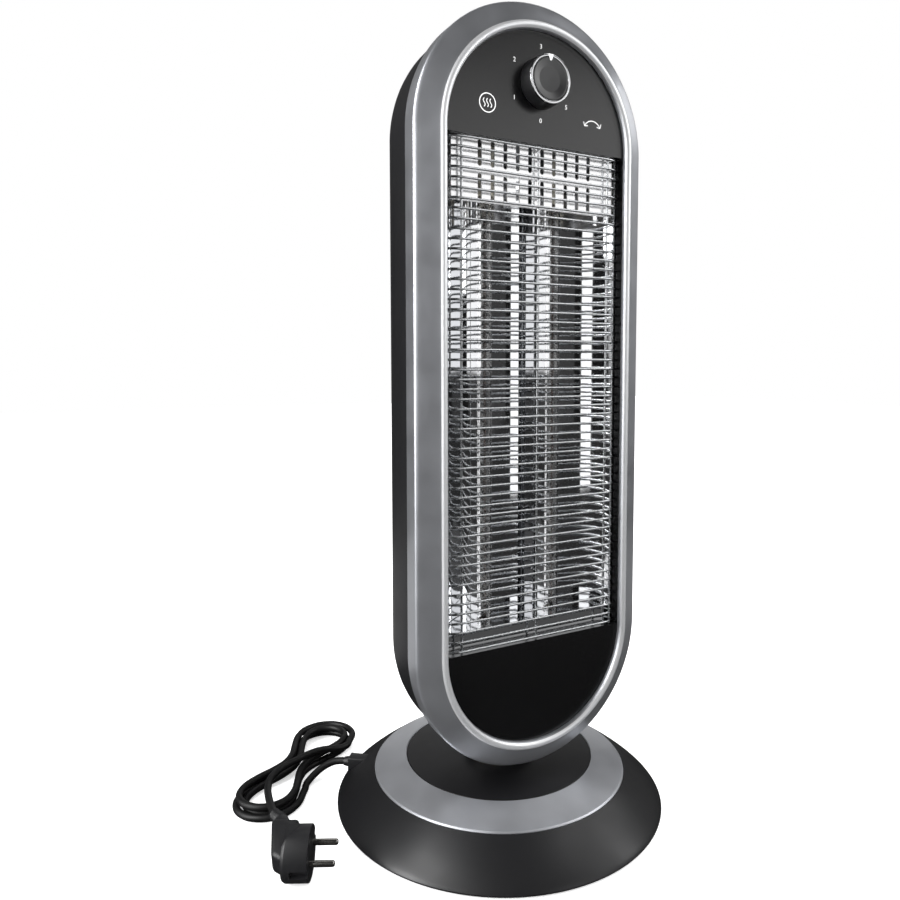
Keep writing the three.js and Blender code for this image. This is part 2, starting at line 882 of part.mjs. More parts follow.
function troughY(x) {
  return troughDepthY - (Math.abs(x) - tubeX) ** 2 / troughCurve;
}

function troughNormal(x) {
  const slope = (-2 * (Math.abs(x) - tubeX) * Math.sign(x)) / troughCurve;
  return new THREE.Vector2(-slope, 1).normalize();
}

function reflectorOutline() {
  const front = [];
  const back = [];
  const reach = bayHalfWidth + bayWall;
  const flange = bayBack + gap;
  for (let side = -1; side <= 1; side += 2) {
    for (let i = 0; i <= 2 * troughSteps; i++) {
      const inward = side < 0 ? i : 2 * troughSteps - i;
      const x = side * troughReach * (1 - inward / (2 * troughSteps));
      if (x === 0 && side > 0) {
        continue;
      }
      const normal = x === 0 ? new THREE.Vector2(0, 1) : troughNormal(x);
      front.push([x, troughY(x)]);
      back.push([x + normal.x * sheet, troughY(x) + normal.y * sheet]);
    }
  }
  return [
    [-reach, flange],
    ...front,
    [reach, flange],
    [reach, flange + sheet],
    ...back.reverse(),
    [-reach, flange + sheet],
  ];
}
add('reflector', prism(outline(reflectorOutline()), bayBottom + gap, bayTop - gap), polishedSheet);

// The lower baffle is a polished shelf that follows the troughs behind and ends in a lip that stands on the bay's
// lower wall; the tubes pass through it into their lower holders
function shelfOutline() {
  const places = [shelfHalfWidth];
  for (let i = troughSteps - 1; i > -troughSteps; i--) {
    places.push((troughReach * i) / troughSteps);
  }
  places.push(-shelfHalfWidth);
  return outline([
    [-shelfHalfWidth, shelfFront],
    [shelfHalfWidth, shelfFront],
    ...places.map((x) => [x, troughY(x) - 2 * gap]),
  ]);
}
const shelfRangeX = [-shelfHalfWidth, shelfHalfWidth];
const tubeHoles = [-tubeX, tubeX].map((x) => (
  rod(tubeRadius + 2 * gap, shelfTop - overrun, shelfTop + overrun, 12).translate(x, tubeY, 0)
));
add('lower_baffle', cut(
  join(
    prism(shelfOutline(), shelfTop - sheet, shelfTop),
    block(shelfRangeX, [shelfFront, shelfFront + sheet], [bayBottom + gap, shelfTop]),
  ),
  ...tubeHoles,
), polishedSheet);
add('upper_baffle', block(bayRangeX, [bayBack + gap, baffleBack], [bayTop, bayTop + bayWall]), plainSteel);

function capProfile(end, mouth, seat) {
  return [
    [0, end],
    [capRadius, end],
    [capRadius, mouth],
    [tubeRadius + gap, mouth],
    [tubeRadius + gap, seat],
    [0, seat],
  ];
}

for (const [side, x] of [['left', -tubeX], ['right', tubeX]]) {
  const lowSeat = tubeBottom - gap;
  const highSeat = tubeTop + gap;
  add(`lower_cap_${side}`, revolved(capProfile(bayBottom + gap, shelfTop - sheet - gap, lowSeat), 12)
    .translate(x, tubeY, 0), ceramic);
  add(`upper_cap_${side}`, revolved(capProfile(bayTop - gap, tubeTop - capOverlap, highSeat), 12)
    .translate(x, tubeY, 0), ceramic);
  add(`tube_${side}`, tubeRing(tubeBore, tubeRadius, tubeBottom, tubeTop, 16)
    .translate(x, tubeY, 0), quartzGlass);
  add(`filament_${side}`, rod(filamentRadius, tubeBottom, tubeTop, 8)
    .translate(x, tubeY, 0), heatingWire);
}

// Wire guard: the wires bend back at both sides and end on a rail along each edge

function wireAlong(points, sides = 4) {
  return woundTube(toVectors(points), points.map(() => wireRadius), sides);
}

function guardWire(z) {
  const side = [[wireBend, wireFront], [wireReach, wireFront + railDrop]];
  const points = [...side.map(([x, y]) => [-x, y, z]).reverse(), ...side.map(([x, y]) => [x, y, z])];
  return wireAlong(points);
}

const railDrop = 7.9; // how far the edge rails lie behind the wires' front
const railBottom = bayBottom + gap;
const railTop = bayTop - gap;
const wires = [];
for (let i = 0; i < wireCount; i++) {
  wires.push(guardWire(wireFirst + i * wirePitch));
}
for (const x of [-railOffset, 0, railOffset]) {
  const y = wireFront + railSet;
  const last = wireFirst + (wireCount - 1) * wirePitch;
  wires.push(wireAlong([[x, y, wireFirst - 2 * wireRadius], [x, y, last + 2 * wireRadius]]));
}
for (const x of [-wireReach, wireReach]) {
  const y = wireFront + railDrop;
  wires.push(wireAlong([[x, y, railBottom], [x, y, railTop]]));
}
add('grille', join(...wires), chromeWire);

function shieldOutline() {
  const shape = outline([
    [-shieldHalfWidth, shieldBottom],
    [shieldHalfWidth, shieldBottom],
    [shieldHalfWidth, shieldTop],
    [-shieldHalfWidth, shieldTop],
  ]);
  for (let row = 0; row < 2; row++) {
    const z = shieldBottom + shieldEdge + shieldSlotHeight / 2 + row * (shieldSlotHeight + shieldRowGap);
    for (let column = 0; column < shieldColumns; column++) {
      const x = (column - (shieldColumns - 1) / 2) * shieldSlotPitch;
      shape.holes.push(slotOutline(x, z, shieldSlotWidth, shieldSlotHeight, THREE.Path));
    }
  }
  return shape;
}
const returnX = shieldHalfWidth - gap;
const returnRangeY = [shieldFront + sheet / 2, shieldFront + shieldReturn];
const returnRangeZ = [shieldBottom + gap, shieldTop - gap];
add('heat_shield', join(
  standingPrism(shieldOutline(), shieldFront, shieldFront + sheet, 2),
  block([-returnX, sheet - returnX], returnRangeY, returnRangeZ),
  block([returnX - sheet, returnX], returnRangeY, returnRangeZ),
), polishedSheet);

// Dial and its switch

const shaftTip = panelFront - gap - knobDepth / 2;
const faceRim = knobFaceRadius - knobRingWidth - gap;
add('knob', turned([
  [0, shaftTip - gap],
  [shaftRadius + gap, shaftTip - gap],
  [shaftRadius + gap, panelFront - gap],
  [knobRadius, panelFront - gap],
  [knobRadius, panelFront - gap - sheet],
  [knobFaceRadius, dialFace + knobRingThickness + gap],
  [faceRim, dialFace + knobRingThickness + gap],
  [faceRim, dialFace],
  [faceRim - sheet, dialFace],
  [faceRim * knobDishShares[0], dialFace + knobDish * knobDishShares[1]],
  [0, dialFace + knobDish],
], knobSteps).translate(0, 0, dialHeight), glossBlack);

add('knob_ring', turned([
  [knobFaceRadius - knobRingWidth, dialFace + knobRingThickness],
  [knobFaceRadius, dialFace + knobRingThickness],
  [knobFaceRadius, dialFace],
  [knobFaceRadius - gap, dialFace - gap],
  [knobFaceRadius - knobRingWidth, dialFace - gap],
  [knobFaceRadius - knobRingWidth, dialFace + knobRingThickness],
], knobSteps).translate(0, 0, dialHeight), chromeWire);

const switchFront = panelBack + gap;
add('knob_shaft', rodAlongY(shaftRadius, shaftTip, switchFront + shaftInSwitch - gap, 16)
  .translate(0, 0, dialHeight), plainSteel);

add('rotary_switch', cut(
  block(
    [-switchSide / 2, switchSide / 2],
    [switchFront, switchFront + switchDepth],
    [-switchSide / 2, switchSide / 2],
  ),
  rodAlongY(shaftRadius + gap, switchFront - overrun, switchFront + shaftInSwitch, 16),
).translate(0, 0, dialHeight), satinBlack);

// Wiring inside the head and the base

const terminalBack = housingInnerBack - gap;
const terminalY = terminalBack - terminalDepth / 2;
add('terminal_block', block(
  [-terminalWidth / 2, terminalWidth / 2],
  [terminalBack - terminalDepth, terminalBack],
  [terminalFloor, terminalFloor + terminalHeight],
), nylon);

const cutoutFloor = bayTop + bayWall + gap;
add('thermal_cutout', rod(cutoutRadius, cutoutFloor, cutoutFloor + cutoutHeight, 16)
  .translate(cutoutX, tubeY, 0), plainSteel);


add('head_lead', lead(toVectors([
  [0, 0, leadJoint],
  [0, 0, spindleFoot],
  [0, 0, flangeHeight],
  [0, terminalY / 5, (spindleTop + terminalFloor) / 2 - gap],
  [0, terminalY, terminalFloor - 4 * innerLeadRadius],
  [0, terminalY, terminalFloor - gap],
]), innerLeadRadius, leadSides, 10), rubberBlack);

const terminalTop = terminalFloor + terminalHeight;
const switchBack = switchFront + switchDepth;
add('switch_lead', lead(toVectors([
  [0, terminalY, terminalTop + gap],
  [0, terminalY, terminalTop + terminalHeight],
  [0, terminalY, bayBottom],
  [0, terminalY, bayTop],
  [0, terminalY / 2, dialHeight - switchSide / 2],
  [0, switchBack / 2, dialHeight],
  [0, switchBack + gap, dialHeight],
]), switchLeadRadius, leadSides, 16), rubberBlack);

function fromAxis(radius, height) {
  return [radius * Math.cos(glandAzimuth), radius * Math.sin(glandAzimuth), height];
}

const leadFloor = innerFloor + innerLeadRadius + sheet;
const leadRest = innerFloor + ballastHeight + innerLeadRadius + 2 * sheet;
add('base_lead', lead(toVectors([
  fromAxis(glandInner - gap, glandHeight),
  fromAxis(glandInner - 2 * innerLeadRadius, glandHeight),
  fromAxis(ballastOuterRadius - 4 * innerLeadRadius, leadRest),
  fromAxis(ballastInnerRadius - 3 * innerLeadRadius, leadRest),
  [-2 * motorRadius, motorRadius, leadFloor],
  [-motorRadius, 0, leadFloor],
  [-motorRadius / 2, -innerLeadRadius, leadFloor],
  [0, 0, leadJoint - 2 * innerLeadRadius],
  [0, 0, leadJoint - gap],
]), innerLeadRadius, leadSides, 14), rubberBlack);

// Mains cord: a lead, a hank of loops and a tail with the plug

const glandOuter = glandInner + glandLength;
const noseTip = glandOuter + noseLength;
add('cord_gland', join(
  glandBlock(0, glandInner, glandOuter),
  new THREE.CylinderGeometry(noseTipRadius, noseRadius, noseLength + sheet, 16)
    .rotateZ(-Math.PI / 2)
    .translate(noseTip - (noseLength + sheet) / 2, 0, glandHeight)
    .rotateZ(glandAzimuth),
), rubberBlack);

const cordRadius = cordDiameter / 2;

function hankPoint(turn) {
  const outwards = Math.abs(turn - hankTurns / 2);
  const fold = hankFold + hankStep * outwards;
  const waist = hankWaist + hankStep * outwards;
  const run = hankHalfLength + hankLengthStep * outwards - fold;
  const side = (u) => waist + ((fold - waist) * (1 - Math.cos((Math.PI * u) / run))) / 2;
  const mirrored = turn % 1 >= 0.5;
  const part = (turn % 1) % 0.5;
  const foldShare = 0.5 - 2 * runShare;
  let u = 0;
  let n = 0;
  if (part < runShare) {
    u = (-run * part) / runShare;
    n = -side(u);
  } else if (part < runShare + foldShare) {
    const angle = (Math.PI * (part - runShare)) / foldShare;
    u = -run - fold * Math.sin(angle);
    n = -fold * Math.cos(angle);
  } else {
    u = (-run * (0.5 - part)) / runShare;
    n = side(u);
  }
  const flip = mirrored ? -1 : 1;
  const climb = THREE.MathUtils.smoothstep(turn, hankTurns / 2 - 0.25, hankTurns / 2 + 0.25);
  const along = new THREE.Vector3(Math.cos(hankAngle), Math.sin(hankAngle), 0);
  const across = new THREE.Vector3(-along.y, along.x, 0);
  const height = cordLift + cordRadius + (cordDiameter + layerGap) * climb;
  const point = new THREE.Vector3(hankX, hankY, height);
  return point.addScaledVector(along, flip * u).addScaledVector(across, flip * n);
}

function hankPath(steps) {
  const path = [];
  for (let i = 0; i <= steps; i++) {
    path.push(hankPoint(hankStart + ((hankEnd - hankStart) * i) / steps));
  }
  return path;
}

function pathLength(path) {
  return path.slice(1).reduce((sum, point, i) => sum + point.distanceTo(path[i]), 0);
}

function leastSelfGap(path, diameter) {
  const far = 4 * diameter;
  const run = [0];
  path.slice(1).forEach((point, i) => run.push(run[i] + point.distanceTo(path[i])));
  let least = Infinity;
  path.forEach((point, i) => {
    for (let j = i + 1; j < path.length; j++) {
      if (run[j] - run[i] > far) {
        least = Math.min(least, point.distanceTo(path[j]));
      }
    }
  });
  return least - diameter;
}

const finePath = hankPath(1200);
console.log('hank: least gap to itself', leastSelfGap(finePath, cordDiameter).toFixed(2), 'mm');

const startDirection = finePath[0].clone().sub(finePath[1]).normalize();
const endDirection = finePath.at(-1).clone().sub(finePath.at(-2)).normalize();
const hankStartFace = finePath[0].clone().addScaledVector(startDirection, cordDiameter);
const hankEndFace = finePath.at(-1).clone().addScaledVector(endDirection, cordDiameter);
const loops = [
  hankStartFace,
  ...hankPath(Math.round((hankEnd - hankStart) * loopSteps)),
  hankEndFace,
];
add('cord_hank', woundTube(loops, loops.map(() => cordRadius), 6), rubberBlack);

// Route of the free stretches, point by point
const leadRoute = [
  fromAxis(noseTip + gap, glandHeight), fromAxis(noseTip + cordRadius, glandHeight),
  [-120.6, 96.6, 14.0], [-126.8, 98.5, 12.1], [-133.4, 98.7, 9.5], [-139.7, 97.3, 6.8],
  [-145.6, 94.3, 4.6], [-150.4, 90.0, 3.4],
];
const tailRoute = [
  [-103.2, 124.1, 10.7], [-110.2, 121.3, 12.6], [-119.3, 119.7, 15.2], [-130.3, 117.8, 17.0],
  [-141.8, 114.7, 17.4], [-153.3, 110.1, 17.4], [-164.3, 105.7, 17.4], [-174.2, 99.4, 17.4],
  [-183.0, 89.6, 17.4], [-188.4, 77.6, 17.4], [-191.5, 64.6, 17.5], [-193.2, 53.4, 18.0],
  [-194.4, 42.5, 19.0], [-195.7, 29.2, 21.0],
];
const leadPath = [...toVectors(leadRoute), hankStartFace.clone().addScaledVector(startDirection, gap)];
const tailPath = [hankEndFace.clone().addScaledVector(endDirection, gap), ...toVectors(tailRoute)];
add('cord_lead', lead(leadPath, cordRadius, cordSides, 6), rubberBlack);
add('cord_tail', lead(tailPath, cordRadius, cordSides, 16), rubberBlack);
const cordLengths = [
  curveThrough(leadPath).getLength(),
  pathLength(finePath),
  curveThrough(tailPath).getLength(),
];
console.log('cord: stretches', cordLengths.map((length) => length.toFixed(0)).join(' + '), 'mm');

// Plug: built along its own axes, with the pins along +X and their line along Y

const plugPlace = new THREE.Matrix4()
  .makeTranslation(plugX, plugY, plugRadius + 2 * cordLift)
  .multiply(new THREE.Matrix4().makeRotationZ(plugHeading))
  .multiply(new THREE.Matrix4().makeRotationX(plugTilt));

const pinOffset = pinSpacing / 2;
const pinSides = 12;
function alongX(geometry) {
  return geometry.rotateZ(-Math.PI / 2);
}

const plugShoulder = plugRadius + plugRound;
const plugBack = prism(outline([
  [plugRound - plugDepth, -plugRadius + plugRound / 2],
  [-plugDepth, -plugRadius + plugRound / 2],
  [1.5 * plugRound - plugBackDepth, -plugBackHalf],
  [-plugBackDepth, plugBackHalf],
  [-plugBackDepth, plugShoulder],
  [plugRound - plugDepth, plugShoulder],
]), -plugBackHalf, plugBackHalf);

const plugDisc = alongX(turned([
  [0, -plugDepth],
  [plugRadius - plugRound, -plugDepth],
  [plugRadius, -plugDepth + plugRound],
  [plugRadius, -plugEdge],
  [plugRadius - plugEdge, 0],
  [0, 0],
], 24));

function notch(side) {
  const reach = [side * (plugRadius - notchDepth), side * (plugRadius + overrun)].sort((a, b) => a - b);
  return block([-notchLength, overrun], reach, [-notchWidth / 2, notchWidth / 2]);
}

function pinBore(side) {
  return alongX(rodAlongY(pinRadius + gap, -pinSeat, overrun, pinSides)).translate(0, side * pinOffset, 0);
}

add('plug_body', cut(
  join(plugDisc, plugBack),
  notch(-1),
  notch(1),
  pinBore(-1),
  pinBore(1),
).applyMatrix4(plugPlace), rubberBlack);

[-1, 1].forEach((side, i) => {
  const seat = -pinSeat + gap;
  add(`plug_pin_${i + 1}`, alongX(turned([
    [0, seat],
    [pinRadius, seat],
    [pinRadius, pinLength - pinRadius],
    ...pinTipShares.map(([across, back]) => [pinRadius * across, pinLength - pinRadius * back]),
    [0, pinLength],
  ], pinSides)).translate(0, side * pinOffset, 0).applyMatrix4(plugPlace), chromeWire);
});

const bootMiddle = -(plugDepth + plugBackDepth) / 2;
const [bootRoot, bootStart, bootAhead] = [0, bootCollar, bootReach].map((rise) => (
  new THREE.Vector3(bootMiddle, plugShoulder + gap + rise, 0).applyMatrix4(plugPlace)
));
const tailEnd = tailPath.at(-1);
const tailDirection = curveThrough(tailPath).getTangent(1);
const bootTip = tailEnd.clone().addScaledVector(tailDirection, gap);
const bootBehind = bootTip.clone().addScaledVector(tailDirection, bootReach);
const bootCurve = new THREE.CubicBezierCurve3(bootStart, bootAhead, bootBehind, bootTip);
const bootPath = [bootRoot];
const bootRadii = [bootRadius];
for (let i = 0; i <= 2 * bootRibs + 1; i++) {
  const share = i / (2 * bootRibs + 1);
  const rib = i % 2 === 0 ? 0 : bootRibDepth;
  bootPath.push(bootCurve.getPoint(share));
  bootRadii.push(bootRadius + (bootTipRadius - bootRadius) * share - rib * (1 - share));
}
add('plug_boot', woundTube(bootPath, bootRadii, 8), rubberBlack);

export default heater;
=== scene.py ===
"""Infrared heater: fine surfaces, finishes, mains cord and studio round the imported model."""
import logging
import math
from dataclasses import dataclass, field
from enum import Enum
from typing import Any, Callable, Iterable, Sequence

import bmesh
import bpy
from mathutils import Matrix, Vector


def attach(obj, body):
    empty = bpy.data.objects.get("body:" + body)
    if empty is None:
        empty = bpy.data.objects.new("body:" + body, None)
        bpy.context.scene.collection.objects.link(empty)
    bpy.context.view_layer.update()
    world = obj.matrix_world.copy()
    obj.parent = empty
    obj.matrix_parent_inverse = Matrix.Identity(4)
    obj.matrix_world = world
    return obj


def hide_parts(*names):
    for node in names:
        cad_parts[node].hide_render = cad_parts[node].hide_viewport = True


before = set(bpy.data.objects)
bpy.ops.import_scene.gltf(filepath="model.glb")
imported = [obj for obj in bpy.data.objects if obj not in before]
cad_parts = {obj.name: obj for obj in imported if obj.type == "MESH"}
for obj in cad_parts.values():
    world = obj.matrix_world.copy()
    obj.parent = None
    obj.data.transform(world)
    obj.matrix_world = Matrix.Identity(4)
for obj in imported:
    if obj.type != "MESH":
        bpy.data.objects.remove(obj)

MM = 0.001
GAP = 0.3  # mm, clearance between neighbouring pieces, as in the solids
AXIS = 0.01  # mm, stands for the axis in a profile whose corners are rounded
MEETING = 1e-6  # points nearer than this are one point
FORWARDS = Matrix.Rotation(math.pi / 2, 4, "X")  # turns an upright axis towards the viewer
SIDEWAYS = Matrix.Rotation(math.pi / 2, 4, "Y")  # turns an upright axis to lie along x
LOG = logging.getLogger("heater")
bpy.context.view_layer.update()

Pair = tuple[float, float]
Triple = tuple[float, float, float]


# ---- Finishes ----


def linear(hex_colour: str) -> tuple[float, float, float, float]:
    """Turns an sRGB hex value into a linear colour.

    Args:
        hex_colour: six hex digits with a leading #.

    Returns:
        Red, green, blue and alpha as linear shares.
    """
    shares = [int(hex_colour[i:i + 2], 16) / 255 for i in (1, 3, 5)]
    red, green, blue = (s / 12.92 if s <= 0.04045 else ((s + 0.055) / 1.055) ** 2.4 for s in shares)
    return red, green, blue, 1.0


def add_node(tree: bpy.types.NodeTree, kind: str, inputs: dict[Any, Any], **settings: Any) -> bpy.types.Node:
    """Adds one shader node with its settings, values and links.

    Args:
        tree: the material's or the world's node tree.
        kind: Blender's name of the node type.
        inputs: a socket's name or number, and its value or the (node, output) that feeds it.
        **settings: the node's own options.

    Returns:
        The new node.
    """
    node = tree.nodes.new(kind)
    for key, value in settings.items():
        setattr(node, key, value)
    for key, value in inputs.items():
        if isinstance(value, tuple) and isinstance(value[0], bpy.types.Node):
            tree.links.new(value[0].outputs[value[1]], node.inputs[key])
        else:
            node.inputs[key].default_value = value
    return node


@dataclass(frozen=True)
class Finish:
    """A surface: what it is made of, its colour and how it shines."""

    name: str
    colour: str
    roughness: float
    metallic: float = 0.0
    ior: float = 1.5
    coat: float = 0.0
    coat_roughness: float = 0.03

    def shader(self, tree: bpy.types.NodeTree) -> bpy.types.Node:
        """Adds the main shader with the even values on its own sockets."""
        inputs = {
            "Base Color": linear(self.colour),
            "Roughness": self.roughness,
            "Metallic": self.metallic,
            "IOR": self.ior,
            "Coat Weight": self.coat,
            "Coat Roughness": self.coat_roughness,
        }
        return add_node(tree, "ShaderNodeBsdfPrincipled", inputs)

    def detail(self, tree: bpy.types.NodeTree, shader: bpy.types.Node) -> None:
        """Adds the surface's pattern; a plain finish has none."""

    def make(self) -> bpy.types.Material:
        """Makes the material, once."""
        known = bpy.data.materials.get(self.name)
        if known:
            return known
        material = bpy.data.materials.new(self.name)
        material.use_nodes = True
        material.diffuse_color = linear(self.colour)
        tree = material.node_tree
        tree.nodes.clear()
        shader = self.shader(tree)
        self.detail(tree, shader)
        add_node(tree, "ShaderNodeOutputMaterial", {"Surface": (shader, "BSDF")})
        return material


NOISE_SPAN = (0.3, 0.7)  # most of a noise's values lie between these


@dataclass(frozen=True)
class Grained(Finish):
    """A surface with a fine grain: its gloss and tone wander a little, and the grain stands in low relief."""

    grain: float = 0.5  # mm
    relief: float = 0.02  # mm
    spread: float = 0.08  # of the roughness, up and down
    shade: str = ""  # second colour, where the tone wanders
    blotch: float = 40.0  # mm, size of the wandering tone

    def detail(self, tree: bpy.types.NodeTree, shader: bpy.types.Node) -> None:
        """Feeds roughness, colour and bump from two noises in real sizes."""
        place = add_node(tree, "ShaderNodeTexCoord", {})
        fine = add_node(tree, "ShaderNodeTexNoise", {
            "Vector": (place, "Object"), "Scale": 1 / (self.grain * MM), "Detail": 2.0,
        })
        broad = add_node(tree, "ShaderNodeTexNoise", {
            "Vector": (place, "Object"), "Scale": 1 / (self.blotch * MM), "Detail": 3.0,
        })
        low, high = NOISE_SPAN
        gloss = add_node(tree, "ShaderNodeMapRange", {
            "Value": (broad, "Fac"), "From Min": low, "From Max": high,
            "To Min": max(self.roughness - self.spread, 0.02), "To Max": self.roughness + self.spread,
        })
        tree.links.new(gloss.outputs["Result"], shader.inputs["Roughness"])
        if self.relief:
            bump = add_node(tree, "ShaderNodeBump", {
                "Height": (fine, "Fac"), "Strength": 1.0, "Distance": self.relief * MM,
            })
            tree.links.new(bump.outputs["Normal"], shader.inputs["Normal"])
        if self.shade:
            tone = add_node(tree, "ShaderNodeValToRGB", {"Fac": (broad, "Fac")})
            for stop, place, colour in zip(tone.color_ramp.elements, NOISE_SPAN, (self.shade, self.colour)):
                stop.position, stop.color = place, linear(colour)
            tree.links.new(tone.outputs["Color"], shader.inputs["Base Color"])


@dataclass(frozen=True)
class Rolled(Finish):
    """Rolled bright sheet: long faint waves along the rolling and small dents that break its reflections."""

    wave: float = 9.0  # mm across one wave
    depth: float = 0.03  # mm
    stretch: float = 0.05  # a wave's width for its length
    dent: float = 14.0  # mm

    def detail(self, tree: bpy.types.NodeTree, shader: bpy.types.Node) -> None:
        """Feeds the bump from stretched waves and soft dents."""
        place = add_node(tree, "ShaderNodeTexCoord", {})
        stretch = add_node(tree, "ShaderNodeMapping", {
            "Vector": (place, "Object"), "Scale": (1.0, 1.0, self.stretch),
        })
        waves = add_node(tree, "ShaderNodeTexNoise", {
            "Vector": (stretch, "Vector"), "Scale": 1 / (self.wave * MM), "Detail": 2.0,
        })
        dents = add_node(tree, "ShaderNodeTexNoise", {
            "Vector": (place, "Object"), "Scale": 1 / (self.dent * MM), "Detail": 1.0,
        })
        first = add_node(tree, "ShaderNodeBump", {
            "Height": (waves, "Fac"), "Strength": 1.0, "Distance": self.depth * MM,
        })
        second = add_node(tree, "ShaderNodeBump", {
            "Height": (dents, "Fac"), "Normal": (first, "Normal"), "Strength": 0.6,
            "Distance": 2 * self.depth * MM,
        })
        tree.links.new(second.outputs["Normal"], shader.inputs["Normal"])


@dataclass(frozen=True)
class Clear(Finish):
    """A clear finish that light passes through."""

    def shader(self, tree: bpy.types.NodeTree) -> bpy.types.Node:
        """Adds a clear shader."""
        return add_node(tree, "ShaderNodeBsdfPrincipled", {
            "Base Color": linear(self.colour), "Roughness": self.roughness, "IOR": self.ior,
            "Transmission Weight": 1.0,
        })


class Surfaces(Enum):
    """The heater's finishes, named for what they are.

    A lacquer's flakes, a mould's texture and a roll's lines are finer than a tenth of a millimetre; they are
    drawn a few times coarser, so that they show.
    """

    # Two-coat silver lacquer: aluminium flakes under a clear coat give a soft metallic sheen
    SILVER_LACQUER = Grained("silver_lacquer", "#BEC0C5", 0.36, metallic=0.9, coat=0.4, grain=0.35,
                             relief=0.006, spread=0.04, shade="#B6B8BD", blotch=25.0)
    # The bezel's ridge: the same lacquer painted paler, in a satin tone, as a painted highlight along the
    # ridge
    BRIGHT_RIDGE = Grained("silver_lacquer_painted_highlight", "#F0F1F3", 0.42, metallic=0.8, grain=0.35, relief=0.003,
                           spread=0.04)
    # The same lacquer on the trim ring, painted paler because the flat ring faces the light: painted light
    SILVER_RING = Grained("silver_lacquer_painted_lighter", "#C4C6CB", 0.42, metallic=0.86, coat=0.3, grain=0.35,
                          relief=0.006, spread=0.04, shade="#BCBEC3", blotch=25.0)
    # ABS from a spark-eroded mould: dark, with broad soft highlights
    SATIN_ABS = Grained("satin_abs", "#101012", 0.38, grain=0.7, relief=0.02, spread=0.05, shade="#141416")
    # Polished ABS of the front panel: deep black with a clear, slightly softened reflection
    GLOSS_ABS = Grained("gloss_abs", "#060607", 0.24, coat=0.7, coat_roughness=0.26, grain=6.0, relief=0.004,
                        spread=0.03, blotch=60.0)
    # The knob's ABS, polished less: a soft gloss over a fine texture
    KNOB_ABS = Grained("knob_abs", "#151517", 0.36, coat=0.9, coat_roughness=0.34, grain=0.6, relief=0.012,
                       spread=0.05)
    # Moulded rubber of the pads: matte
    RUBBER = Grained("pad_rubber", "#0D0D0D", 0.8, grain=0.9, relief=0.03, spread=0.05)
    # Flexible PVC sheath: satin, with the faint waviness of extrusion
    PVC_SHEATH = Grained("pvc_sheath", "#080809", 0.5, grain=2.5, relief=0.05, spread=0.08, blotch=12.0)
    # PVC moulded round the cord's ends: a little shinier, with the mould's fine texture
    PVC_PLUG = Grained("pvc_plug", "#141416", 0.42, grain=0.6, relief=0.03, spread=0.06, shade="#18181A",
                       blotch=9.0)
    # Nickel-chrome plating on drawn wire: bright, softened by the drawing
    BRIGHT_WIRE = Grained("chrome_plated_wire", "#DCDEE0", 0.26, metallic=1.0, grain=1.4, relief=0.004,
                          spread=0.05, blotch=8.0)
    # Chrome plating on a polished ring: a clear mirror
    CHROME = Grained("chrome_plating", "#DADBDD", 0.1, metallic=1.0, grain=1.2, relief=0.002, spread=0.04)
    # Nickel plating on turned brass: a warmer, softer mirror
    NICKEL = Grained("nickel_plating", "#B9B7B2", 0.2, metallic=1.0, grain=0.8, relief=0.004, spread=0.05)
    # Polished aluminium sheet: nearly a mirror, with rolling lines
    REFLECTOR_SHEET = Rolled("polished_aluminium", "#E9EAEC", 0.05, metallic=1.0)
    # Bright rolled aluminium of the shield: paler and softer than the reflector
    SHIELD_SHEET = Rolled("bright_aluminium", "#F6F6F7", 0.2, metallic=0.85, depth=0.012)
    # Zinc-plated steel: grey and slightly cloudy
    ZINC_STEEL = Grained("zinc_plated_steel", "#9FA2A6", 0.42, metallic=1.0, grain=3.0, relief=0.004,
                         spread=0.1, shade="#8C9096", blotch=14.0)
    # Drawn quartz glass: clear, with bright edges
    QUARTZ = Clear("clear_quartz", "#FFFFFF", 0.01, ior=1.46)
    # Wound resistance wire, oxidised by its heat: dull brown grey
    HEATING_WIRE = Grained("oxidised_heating_wire", "#4A3A33", 0.55, metallic=0.9, grain=0.8, relief=0.004,
                           shade="#2E2623", blotch=5.0)
    # Pressed and fired ceramic without a glaze: chalky white
    CERAMIC = Grained("unglazed_ceramic", "#DDD9CE", 0.62, grain=0.5, relief=0.03, spread=0.06,
                      shade="#CFC9BA", blotch=7.0)
    # Sintered bearing bronze: warm, softly shining
    BRONZE = Grained("bearing_bronze", "#A9794A", 0.38, metallic=1.0, grain=0.8, relief=0.004)
    # Moulded nylon in its natural milky tone
    NYLON = Grained("natural_nylon", "#D9D6CC", 0.5, grain=0.8, relief=0.01, shade="#CFCBBE")
    # Pad-printed ink: flat white
    PRINT_INK = Grained("white_printing_ink", "#E8E8E8", 0.5, grain=0.4, relief=0.0, spread=0.05)


# ---- Bench: modelling by hand in edit mode ----


def only(piece: bpy.types.Object) -> None:
    """Selects this piece alone and makes it the active one."""
    bpy.ops.object.select_all(action="DESELECT")
    piece.select_set(True)
    bpy.context.view_layer.objects.active = piece


def started(name: str, primitive: Callable[..., Any], scale: Triple = (1, 1, 1),
            **settings: Any) -> bpy.types.Object:
    """Adds a primitive by itself, names it and applies its place, turn and scale.

    Args:
        name: the piece's name.
        primitive: the operator that adds it.
        scale: how far it is stretched along each axis.
        **settings: the operator's own options.

    Returns:
        The piece.
    """
    bpy.ops.object.select_all(action="DESELECT")
    primitive(**settings)
    piece = bpy.context.object
    piece.name = name
    piece.scale = scale
    bpy.ops.object.transform_apply(location=True, rotation=True, scale=True)
    return piece


def edit_points(piece: bpy.types.Object, test: Callable[[bmesh.types.BMVert], bool]) -> None:
    """Selects in edit mode the points that pass a test, and no others."""
    mesh = bmesh.from_edit_mesh(piece.data)
    for vertex in mesh.verts:
        vertex.select_set(False)
    for vertex in mesh.verts:
        if test(vertex):
            vertex.select_set(True)
    mesh.select_flush_mode()
    bmesh.update_edit_mesh(piece.data)


